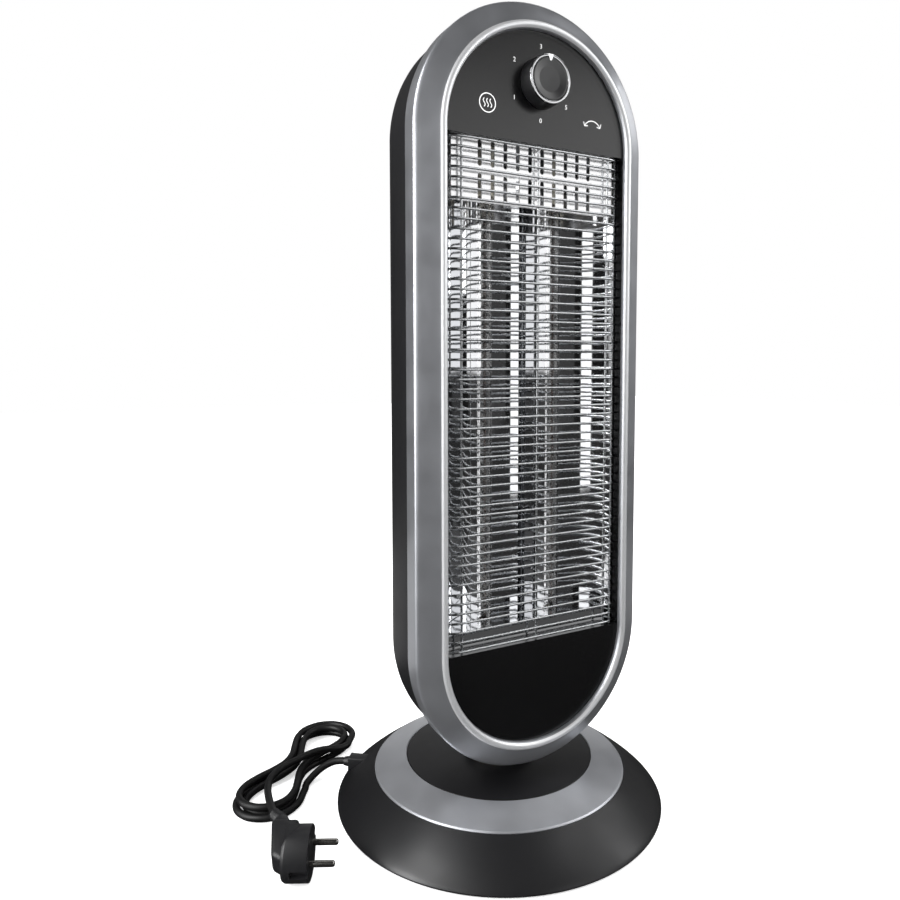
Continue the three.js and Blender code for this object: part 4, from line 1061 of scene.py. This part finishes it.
@dataclass
class Dial:
    """The dial: knob, bright ring, pointer and the printing round it. Sizes are in mm."""

    height: float = 606.5
    front: float = -61.5
    radius: float = 19.5
    face_radius: float = 18.75
    shaft_radius: float = 3.3
    depth: float = 13.6
    skirt: float = 1.2
    ring_width: float = 2.2
    pointer: tuple[Pair, ...] = ((-2.3, 18.3), (2.3, 18.3), (0.5, 13.6), (-0.5, 13.6))
    number_circle: float = 28.5
    number_height: float = 5.0
    hours: tuple[int, ...] = (6, 8, 10, 12, 2, 4)  # where the numbers 0 to 5 stand on a clock
    ink: float = 0.04
    warmth_mark: Pair = (-48.7, 584.4)
    warmth_ring: Pair = (7.4, 0.75)  # radius and width
    swing_mark: Pair = (51.4, 580.5)
    swing_radius: float = 9.0
    line_width: float = 0.75

    def facing(self, x: float, y: float, z: float) -> Matrix:
        """Gives the turn and move that point a turned piece's axis at the viewer from a place."""
        return Matrix.Translation((x, y, z)) @ FORWARDS

    def knob(self) -> None:
        """Builds the knob with its dished face, the bright ring let into its edge and the pointer."""
        face = self.depth - GAP
        seat = face - self.skirt
        rim = self.face_radius - self.ring_width - GAP
        dish = face - 1.6
        front = rounded([
            (self.shaft_radius, 0), (self.radius, 0, 0.4), (self.radius, self.skirt, 0.4),
            (self.face_radius, seat, 0.2), (rim, seat, 0.1), (rim, face, 0.5), (rim - 1.2, face, 0.8),
            (rim * 0.6, face - 1.3, 6.0), (AXIS, dish),
        ])
        to = self.facing(0, self.front - GAP, self.height)
        piece = turned("knob_body", [(self.shaft_radius, 0), *front[1:], (0, dish)], 96, to=to)
        finish_piece(piece, "dial", Surfaces.KNOB_ABS, ["knob"], smooth=35)
        inner = self.face_radius - self.ring_width
        ring = rounded([(inner, seat), (self.face_radius, seat, 0.15), (self.face_radius, face + 0.1, 0.5),
                        (inner, face + 0.1, 0.4), (inner, seat)])
        piece = turned("knob_trim", [(inner, seat), *ring[1:]], 96, to=to, closed=True)
        finish_piece(piece, "dial", Surfaces.CHROME, ["knob_ring"], smooth=50)
        front_y = self.front - self.depth - 0.45
        tip = [(x, front_y, self.height + z) for x, z in self.pointer]
        piece = prism("knob_pointer", tip, (0, 0.5, 0))
        finish_piece(piece, "dial", Surfaces.PRINT_INK, smooth=0)

    def number(self, digit: str, clock: float) -> bpy.types.Object:
        """Prints one plain number at an hour of the clock."""
        angle = math.radians(90 - 30 * clock)
        bpy.ops.object.select_all(action="DESELECT")
        bpy.ops.object.text_add(rotation=(math.pi / 2, 0, 0))
        text = bpy.context.object
        text.name = f"number_{digit}"
        text.data.body = digit
        text.data.size = self.number_height * MM
        text.data.align_x, text.data.align_y = "CENTER", "CENTER"
        text.data.extrude = self.ink * MM
        text.location = (self.number_circle * math.cos(angle) * MM, (self.front - 0.03) * MM,
                         (self.height + self.number_circle * math.sin(angle)) * MM)
        bpy.ops.object.convert(target="MESH")
        return bpy.context.object

    def ring_mark(self, name: str, middle: Pair, radius: float, width: float) -> bpy.types.Object:
        """Prints a thin ring on the panel."""
        inner, rise = radius - width, 2 * self.ink
        profile = [(inner, 0), (radius, 0), (radius, rise), (inner, rise), (inner, 0)]
        return turned(name, profile, 48, to=self.facing(middle[0], self.front, middle[1]), closed=True)

    def line_mark(self, name: str, places: Sequence[Pair], width: float) -> bpy.types.Object:
        """Prints a thin line through places in x and z on the panel."""
        piece = tube(name, [Vector((x, self.front - 0.02, z)) for x, z in places], width / 2, 2)
        panel = Matrix.Translation((0, self.front * MM, 0))
        piece.data.transform(panel @ Matrix.Diagonal((1, 0.1, 1, 1)) @ panel.inverted())
        return piece

    def printing(self) -> None:
        """Prints the numbers of the dial's six positions and two plain marks: warmth and swing."""
        marks = [self.number(str(i), clock) for i, clock in enumerate(self.hours)]
        marks.append(self.ring_mark("mark_ring", self.warmth_mark, *self.warmth_ring))
        x, z = self.warmth_mark
        for dx in (-2.9, 0.0, 2.9):
            wave = [(x + dx + 0.8 * math.sin(math.pi * (dz + 3.2) / 3.2), z + dz)
                    for dz in (-3.2 + 0.4 * i for i in range(17))]
            marks.append(self.line_mark(f"mark_wave_{dx}", wave, 0.7))
        x, z = self.swing_mark
        bow = self.swing_radius
        arc = [(x + bow * math.sin(a), z - 4 + bow * math.cos(a))
               for a in (math.radians(-62 + 6.2 * i) for i in range(21))]
        marks.append(self.line_mark("mark_arc", arc, self.line_width))
        for sign, (ex, ez) in ((-1, arc[0]), (1, arc[-1])):
            for tx, tz in ((-1.0, 3.4), (3.4, 0.6)):
                head = [(ex, ez), (ex - sign * tx, ez + tz)]
                marks.append(self.line_mark(f"mark_tip_{sign}_{tx}", head, self.line_width))
        piece = joined(marks)
        piece.name = "panel_printing"
        finish_piece(piece, "head", Surfaces.PRINT_INK, smooth=0)

    def build(self) -> None:
        """Builds the dial and its printing."""
        self.knob()
        self.printing()


# ---- Mains cord ----


@dataclass
class Cord:
    """The mains cord: gland, one cord with its hank, boot and plug. Sizes are in mm."""

    diameter: float = 6.3
    azimuth: float = 141.0  # degrees, of the gland
    exit: Triple = (-113.5, 91.9, 14.8)
    hank: Pair = (-149.5, 118.4)  # its middle
    hank_angle: float = 43.5  # degrees
    turns: float = 3.0
    first_turn: float = 0.0875  # where the lead joins the hank
    last_turn: float = 2.865  # where the tail leaves it
    half_length: float = 70.0
    length_step: float = 8.0  # how much longer each turn is than its neighbour towards the middle one
    fold: float = 17.8  # half the width at the ends
    waist: float = 3.4  # half the width at the middle
    step: float = 7.6  # how much wider each turn is than its neighbour towards the middle one
    layer_gap: float = 0.7
    lift: float = 0.05  # above the floor
    run_share: float = 0.14  # of a turn, for half of one of its two runs
    lead: tuple[Triple, ...] = (
        (-115.5, 93.4, 14.7), (-120.6, 96.6, 14.0), (-126.8, 98.5, 12.1), (-133.4, 98.7, 9.5),
        (-139.7, 97.3, 6.8), (-145.6, 94.3, 4.6), (-150.4, 90.0, 3.4),
    )
    tail: tuple[Triple, ...] = (
        (-103.2, 124.1, 10.7), (-110.2, 121.3, 12.6), (-119.3, 119.7, 15.2), (-130.3, 117.8, 17.0),
        (-141.8, 114.7, 17.4), (-153.3, 110.1, 17.4), (-164.3, 105.7, 17.4), (-174.2, 99.4, 17.4),
        (-183.0, 89.6, 17.4), (-188.4, 77.6, 17.4), (-191.5, 64.6, 17.5), (-193.2, 53.4, 18.0),
        (-194.4, 42.5, 19.0), (-195.7, 29.2, 21.0),
    )
    plug_place: Triple = (-184.4, -32.4, 19.85)
    plug_heading: float = -28.0  # degrees
    plug_tilt: float = 15.0  # degrees
    plug_radius: float = 19.75
    plug_depth: float = 20.0
    recess: tuple[Pair, ...] = ((-30, 24), (-7, 24), (-9, 6), (-20, -9), (-30, 2))  # a finger recess
    pin_length: float = 19.0
    pin_radius: float = 2.4
    pin_offset: float = 9.5
    boot_x: float = -27.0
    boot_radius: float = 7.2
    boot_steps: int = 110
    groove_count: int = 7
    groove_depth: float = 0.3
    groove_span: Pair = (0.3, 0.95)  # where the grooves start and end, as shares of the boot's length
    gland_side: float = 11.5
    gland_span: Pair = (121, 140.5)  # where the gland starts and ends, from the base's axis
    start: float = 141.0  # where the cord starts inside the gland, from the base's axis
    hank_steps: int = 67

    def hank_point(self, turn: float) -> Vector:
        """Gives a point of the hank, in mm.

        Args:
            turn: how many turns from its start.

        Returns:
            The point: two runs that draw in at the waist, joined by half circles, one layer on the other.
        """
        outwards = abs(turn - self.turns / 2)
        fold, waist = self.fold + self.step * outwards, self.waist + self.step * outwards
        run = self.half_length + self.length_step * outwards - fold
        part, fold_share = (turn % 1) % 0.5, 0.5 - 2 * self.run_share

        def width(u: float) -> float:
            """Gives half the hank's width at a place along the run."""
            return waist + (fold - waist) * (1 - math.cos(math.pi * u / run)) / 2

        if part < self.run_share:
            u = -run * part / self.run_share
            n = -width(u)
        elif part < self.run_share + fold_share:
            angle = math.pi * (part - self.run_share) / fold_share
            u, n = -run - fold * math.sin(angle), -fold * math.cos(angle)
        else:
            u = -run * (0.5 - part) / self.run_share
            n = width(u)
        flip = -1 if turn % 1 >= 0.5 else 1
        rise = min(max((turn - self.turns / 2 + 0.25) / 0.5, 0), 1)
        climb = rise * rise * (3 - 2 * rise)
        heading = math.radians(self.hank_angle)
        along = Vector((math.cos(heading), math.sin(heading), 0))
        across = Vector((-along.y, along.x, 0))
        height = self.lift + self.diameter / 2 + (self.diameter + self.layer_gap) * climb
        return Vector((*self.hank, height)) + along * (flip * u) + across * (flip * n)

    def route(self) -> list[Vector]:
        """Gives the whole cord's centre line, from inside the gland to inside the boot, in mm."""
        steps = self.hank_steps
        turns = [self.first_turn + (self.last_turn - self.first_turn) * i / steps for i in range(steps + 1)]
        loops = [self.hank_point(t) for t in turns]
        before = loops[0] + (loops[0] - loops[1]).normalized() * self.diameter
        after = loops[-1] + (loops[-1] - loops[-2]).normalized() * self.diameter
        azimuth = math.radians(self.azimuth)
        inside = Vector((self.start * math.cos(azimuth), self.start * math.sin(azimuth), self.exit[2]))
        tip, near_tip = Vector(self.tail[-1]), Vector(self.tail[-2])
        end = tip + (tip - near_tip).normalized() * 5
        return smooth_line([inside, self.exit, *self.lead, before, *loops, after, *self.tail, end], 4)

    def gland(self) -> bpy.types.Object:
        """Builds the square strain relief in the dome and its tapered nose."""
        half = self.gland_side / 2
        near, far = self.gland_span
        body = block("gland_body", (near, -half, -half), (far, half, half), bevel=0.8)
        nose = rounded([(3.3, -4), (4.7, -4), (4.6, 0.5), (3.75, 5.0, 0.7), (3.25, 5.2), (3.25, 2)])
        tip = turned("gland_nose", [*nose, nose[0]], 40, to=Matrix.Translation((far - 0.1, 0, 0)) @ SIDEWAYS,
                     closed=True)
        piece = joined([body, tip])
        piece.data.transform(Matrix.Translation((0, 0, self.exit[2] * MM))
                             @ Matrix.Rotation(math.radians(self.azimuth), 4, "Z"))
        return finish_piece(piece, "base", Surfaces.PVC_PLUG, ["cord_gland"], smooth=40)

    def place(self) -> Matrix:
        """Gives the plug's place: its pins along its own x axis and their line along y."""
        return (Matrix.Translation(self.plug_place) @ Matrix.Rotation(math.radians(self.plug_heading), 4, "Z")
                @ Matrix.Rotation(math.radians(self.plug_tilt), 4, "X"))

    def plug(self) -> bpy.types.Object:
        """Builds the round plug: a disc, its sloping back, finger recesses and the notches at its edge."""
        r, back = self.plug_radius, -self.plug_depth
        disc = rounded([(AXIS, back), (r - 1.4, back, 1.2), (r, back + 2.5, 2.0), (r, 0, 0.7), (AXIS, 0)])
        piece = turned("plug_shell", [(0, back), *disc[1:], (0, 0)], 72, to=SIDEWAYS)
        lump = block("lump", (-34, -r + 2, -11.5), (-12, r + 2, 11.5))
        only(lump)
        bpy.ops.object.mode_set(mode="EDIT")
        edit_points(lump, lambda v: v.co.x < -30 * MM and v.co.y < 0)
        bpy.ops.transform.translate(value=(6 * MM, 9 * MM, 0))
        edit_points(lump, lambda v: v.co.y < 0)
        bpy.ops.transform.resize(value=(1, 1, 0.8), center_override=(0, 0, 0))
        bpy.ops.mesh.select_all(action="SELECT")
        bpy.ops.mesh.bevel(offset=3.2 * MM, segments=4, affect="EDGES")
        bpy.ops.object.mode_set(mode="OBJECT")
        combined(piece, lump, "UNION")
        tools = []
        for side in (-1, 1):
            wedge = [(x, y, side * 14.2) for x, y in self.recess]
            tools.append(prism(f"recess_{side}", wedge, (0, 0, side * 10)))
            y = sorted((side * (r - 3.4), side * (r + 5)))
            tools.append(block(f"notch_{side}", (-13, y[0], -3.2), (5, y[1], 3.2)))
        combined(piece, joined(tools), "DIFFERENCE")
        modified(piece, "BEVEL", width=0.45 * MM, segments=2, limit_method="ANGLE",
                 angle_limit=math.radians(50))
        piece.data.transform(in_metres(self.place()))
        return finish_piece(piece, "base", Surfaces.PVC_PLUG, ["plug_body"], smooth=35)

    def pins(self) -> list[bpy.types.Object]:
        """Builds the two round pins with their domed tips."""
        root, tip, radius = -3.7, self.pin_length, self.pin_radius
        pin = rounded([(AXIS, root), (radius, root, 0.2), (radius, tip, 1.9), (AXIS, tip)], 6)
        pieces = []
        for i, side in enumerate((-1, 1)):
            to = Matrix.Translation((0, side * self.pin_offset, 0)) @ SIDEWAYS
            piece = turned(f"pin_{i + 1}", [(0, root), *pin[1:], (0, tip)], 32, to=to)
            piece.data.transform(in_metres(self.place()))
            pieces.append(piece)
            finish_piece(piece, "base", Surfaces.NICKEL, [f"plug_pin_{i + 1}"], smooth=50)
        return pieces

    def boot(self) -> bpy.types.Object:
        """Builds the ribbed boot between the plug's shoulder and the cord."""
        to = self.place()
        root = to @ Vector((self.boot_x, self.plug_radius + 0.5, 0))
        ahead = to @ Vector((self.boot_x, self.plug_radius + 13, 0))
        tip, before = Vector(self.tail[-1]), Vector(self.tail[-2])
        behind = tip + (tip - before).normalized() * 11
        first, last = self.groove_span
        path, shares = [], []
        for i in range(self.boot_steps + 1):
            t = i / self.boot_steps
            u = 1 - t
            path.append(root * u ** 3 + ahead * 3 * t * u ** 2 + behind * 3 * t * t * u + tip * t ** 3)
            groove = 0.0
            if first < t < last:
                wave = math.sin(math.pi * ((t - first) / (last - first) * self.groove_count % 1))
                groove = self.groove_depth * (1 - wave ** 0.5)
            shares.append((1.0 - 0.36 * t - 0.06 * math.sin(math.pi * t)) * (1 - groove))
        piece = tube("ribbed_boot", path, self.boot_radius, 8, shares)
        return finish_piece(piece, "base", Surfaces.PVC_PLUG, ["plug_boot"], smooth=60)

    def build(self) -> None:
        route = self.route()
        piece = tube("mains_cord", route, self.diameter / 2, 7)
        solids = ["cord_lead", "cord_hank", "cord_tail"]
        finish_piece(piece, "base", Surfaces.PVC_SHEATH, solids, smooth=80)
        pieces = [self.gland(), self.plug(), self.boot(), *self.pins()]


# ---- Carried-over parts ----


def dress_plain_parts() -> None:
    """Gives each part that keeps its plain shape the finish of its real material."""
    finishes = {
        Surfaces.GLOSS_ABS: ["front_panel"],
        Surfaces.REFLECTOR_SHEET: ["lower_baffle"],
        Surfaces.SHIELD_SHEET: ["heat_shield"],
        Surfaces.RUBBER: ["foot_right", "foot_rear", "foot_left", "foot_front"],
        Surfaces.PVC_SHEATH: ["base_lead", "head_lead", "switch_lead"],
        Surfaces.SATIN_ABS: ["tip_switch", "rotary_switch"],
        Surfaces.ZINC_STEEL: ["bottom_plate", "ballast_ring", "spindle", "spindle_clip", "swing_lever",
                              "swing_motor", "motor_shaft", "crank_pin", "plunger_spring", "upper_baffle",
                              "knob_shaft", "thermal_cutout"],
        Surfaces.BRONZE: ["bearing_bush"],
        Surfaces.NYLON: ["thrust_washer", "crank_arm", "tip_plunger", "terminal_block"],
    }
    for surface, names in finishes.items():
        for name in names:
            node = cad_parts[name]
            node.data.materials.clear()
            node.data.materials.append(surface.value.make())
            LOG.info("%s: %s", name, surface.name.lower())


# ---- Studio ----


WHITE = (1, 1, 1, 1)
WATTS = 4  # of an area lamp for each square metre, at a radiance of 1


@dataclass(frozen=True)
class Softbox:
    """A soft rectangular lamp, placed round the heater's axis."""

    name: str
    azimuth: float  # degrees from straight in front, towards the right of someone who looks at the front
    distance: float  # m
    height: float  # m, of its middle
    size: Pair  # m, width and height
    radiance: float
    aim: float = 0.3  # m, height of the point on the axis that it faces


@dataclass(frozen=True)
class Card:
    """A flat card, standing or lying, that only gloss sees: it casts no light or shade."""

    name: str
    azimuth: float  # degrees, as for the lamps
    distance: float  # m
    height: float  # m, of its middle
    size: Pair  # m, width and height
    level: float  # its brightness
    lies: bool = False  # flat on the floor, or flat above

    def place(self) -> Triple:
        """Gives its middle."""
        angle = math.radians(self.azimuth)
        return self.distance * math.sin(angle), -self.distance * math.cos(angle), self.height

    def facing(self) -> Triple:
        """Gives the way it faces: towards the heater's axis, up from the floor or down from above."""
        across, along, height = self.place()
        if self.lies:
            return 0, 0, 1 if height < 1 else -1
        return -across, -along, 0


@dataclass
class Studio:
    """Camera, floor, lamps, cards and the white surroundings."""

    place: Triple = (-352.907, -575.648, 388.754)  # of the camera, in mm
    pan: float = 0.515135  # radians
    tilt: float = 0.0652898  # radians
    lens: float = 30.778  # mm
    shift: Pair = (-0.02492, -0.04279)
    ambient: float = 1.4  # strength of the surroundings as a light
    boxes: tuple[Softbox, ...] = (
        Softbox("front_right", 27.5, 1.5, 0.76, (1.24, 0.8), 0.85, aim=0.76),
        Softbox("front_right_high", 52, 0.95, 1.5, (0.6, 0.4), 2.0, aim=0.3),
        Softbox("left_strip", -55.5, 1.5, 0.82, (0.236, 1.6), 1.1, aim=0.82),
        Softbox("left_side", -90, 1.6, 0.6, (0.8, 1.3), 4.0, aim=0.6),
        Softbox("right_low", 62, 1.5, 0.75, (0.5, 0.35), 3.0, aim=0.1),
        Softbox("right_high", 74, 1.3, 1.15, (1.1, 0.42), 2.4, aim=0.1),
        Softbox("left_low", -86, 1.4, 0.85, (1.0, 0.35), 6.0, aim=0.05),
        Softbox("left_high", -90, 1.05, 1.35, (0.65, 0.4), 6.0, aim=0.05),
        Softbox("back_high", 150, 1.0, 1.8, (1.0, 0.6), 1.0, aim=0.2),
    )
    cards: tuple[Card, ...] = (
        Card("table", 0, 0, 0.0002, (6.4, 6.4), 0.03, lies=True),
        Card("ceiling", 0, 0, 3.4, (6.4, 6.4), 0.02, lies=True),
        *(Card(name, azimuth, 3.2, 1.7, (6.4, 3.4), level)
          for name, azimuth, level in (("front", 0, 0.05), ("right", 90, 0.01), ("left", -90, 0.01),
                                       ("back", 180, 0.1))),
        Card("right_fill", 95, 3.0, 0.6, (2.6, 1.6), 0.16),
        Card("left_fill", -95, 3.0, 0.6, (2.6, 1.6), 0.83),
        Card("back_right_fill", 150, 3.0, 0.6, (2.6, 1.6), 0.46),
        Card("back_left_flag", -150, 3.0, 0.6, (2.6, 1.6), 0.01),
        Card("table_right", 90, 0.85, 0.0003, (0.6, 0.6), 0.19, lies=True),
        Card("table_left", -90, 0.85, 0.0004, (0.6, 0.6), 0.9, lies=True),
        Card("table_front_right", 30, 0.85, 0.0005, (0.6, 0.6), 0.08, lies=True),
        Card("table_back_right", 145, 0.75, 0.0006, (0.7, 0.7), 1.2, lies=True),
        Card("table_back_left", -145, 0.75, 0.0007, (0.7, 0.7), 0.41, lies=True),
    )

    def camera(self) -> None:
        """Sets the camera where the photograph was taken from."""
        data = bpy.data.cameras.new("camera")
        data.sensor_width = 36
        data.lens = self.lens
        data.shift_x, data.shift_y = self.shift
        data.clip_start, data.clip_end = 0.01, 50
        camera = bpy.data.objects.new("camera", data)
        bpy.context.scene.collection.objects.link(camera)
        camera.location = Vector(self.place) * MM
        ahead = Vector((math.sin(self.pan) * math.cos(self.tilt), math.cos(self.pan) * math.cos(self.tilt),
                        -math.sin(self.tilt)))
        camera.rotation_mode = "QUATERNION"
        camera.rotation_quaternion = ahead.to_track_quat("-Z", "Y")
        bpy.context.scene.camera = camera

    def sheet(self, name: str, place: Triple, facing: Triple, size: Pair) -> bpy.types.Object:
        """Makes one flat sheet of the studio.

        Args:
            name: its name.
            place: its middle, in metres.
            facing: the way it faces.
            size: width and height in metres.

        Returns:
            The sheet.
        """
        bpy.ops.object.select_all(action="DESELECT")
        bpy.ops.mesh.primitive_plane_add(size=1)
        sheet = bpy.context.object
        sheet.name = name
        turn = Vector(facing).to_track_quat("Z", "Y").to_matrix().to_4x4()
        sheet.data.transform(Matrix.Translation(place) @ turn @ Matrix.Diagonal((*size, 1, 1)))
        return sheet

    def floor(self) -> None:
        """Lays the pale floor, which keeps the object's shadow."""
        floor = self.sheet("floor", (0, 0, 0), (0, 0, 1), (12, 12))
        material = bpy.data.materials.new("pale_floor")
        material.use_nodes = True
        tree = material.node_tree
        tree.nodes.clear()
        matte = add_node(tree, "ShaderNodeBsdfDiffuse", {"Color": (0.85, 0.85, 0.85, 1)})
        glow = add_node(tree, "ShaderNodeEmission", {"Color": WHITE, "Strength": 0.5})
        both = add_node(tree, "ShaderNodeAddShader", {0: (matte, "BSDF"), 1: (glow, "Emission")})
        path = add_node(tree, "ShaderNodeLightPath", {})
        mix = add_node(tree, "ShaderNodeMixShader", {
            0: (path, "Is Camera Ray"), 1: (matte, "BSDF"), 2: (both, 0),
        })
        add_node(tree, "ShaderNodeOutputMaterial", {"Surface": (mix, 0)})
        floor.data.materials.append(material)

    def hang(self, card: Card) -> None:
        """Hangs or lays one card with its even brightness, seen by gloss alone."""
        sheet = self.sheet(card.name, card.place(), card.facing(), card.size)
        board = bpy.data.materials.new(card.name)
        board.use_nodes = True
        tree = board.node_tree
        tree.nodes.clear()
        tone = add_node(tree, "ShaderNodeEmission", {"Color": WHITE, "Strength": card.level})
        add_node(tree, "ShaderNodeOutputMaterial", {"Surface": (tone, "Emission")})
        sheet.data.materials.append(board)
        for ray in ("visible_camera", "visible_diffuse", "visible_shadow", "visible_transmission"):
            setattr(sheet, ray, False)

    def lamp(self, box: Softbox) -> None:
        """Hangs one soft lamp, with the power that its radiance and size ask for."""
        data = bpy.data.lights.new(box.name, "AREA")
        data.shape = "RECTANGLE"
        data.size, data.size_y = box.size
        data.energy = WATTS * box.size[0] * box.size[1] * box.radiance
        lamp = bpy.data.objects.new(box.name, data)
        bpy.context.scene.collection.objects.link(lamp)
        angle = math.radians(box.azimuth)
        lamp.location = (box.distance * math.sin(angle), -box.distance * math.cos(angle), box.height)
        lamp.rotation_mode = "QUATERNION"
        lamp.rotation_quaternion = (Vector((0, 0, box.aim)) - lamp.location).to_track_quat("-Z", "Y")

    def world(self) -> None:
        """Makes the surroundings white for the eye, gloss and glass, with their own strength as a light."""
        world = bpy.data.worlds.new("studio")
        bpy.context.scene.world = world
        world.use_nodes = True
        tree = world.node_tree
        tree.nodes.clear()
        path = add_node(tree, "ShaderNodeLightPath", {})
        eye = add_node(tree, "ShaderNodeMath", {0: (path, "Is Camera Ray"), 1: (path, "Is Glossy Ray")},
                       operation="MAXIMUM")
        seen = add_node(tree, "ShaderNodeMath", {0: (eye, 0), 1: (path, "Is Transmission Ray")},
                        operation="MAXIMUM")
        soft = add_node(tree, "ShaderNodeBackground", {"Color": WHITE, "Strength": self.ambient})
        white = add_node(tree, "ShaderNodeBackground", {"Color": WHITE, "Strength": 1.0})
        mix = add_node(tree, "ShaderNodeMixShader", {0: (seen, 0), 1: (soft, 0), 2: (white, 0)})
        add_node(tree, "ShaderNodeOutputWorld", {"Surface": (mix, 0)})

    def build(self) -> None:
        """Lights the scene."""
        self.floor()
        for card in self.cards:
            self.hang(card)
        self.world()
        for box in self.boxes:
            self.lamp(box)
        bpy.context.scene.view_settings.view_transform = "Standard"


def main() -> None:
    """Builds the heater and its studio in order."""
    logging.basicConfig(level=logging.INFO, format="%(message)s")
    studio = Studio()
    studio.camera()
    Cord().build()
    Base().build()
    Head().build()
    Bay().build()
    Dial().build()
    dress_plain_parts()
    studio.build()


if __name__ == "__main__":
    main()
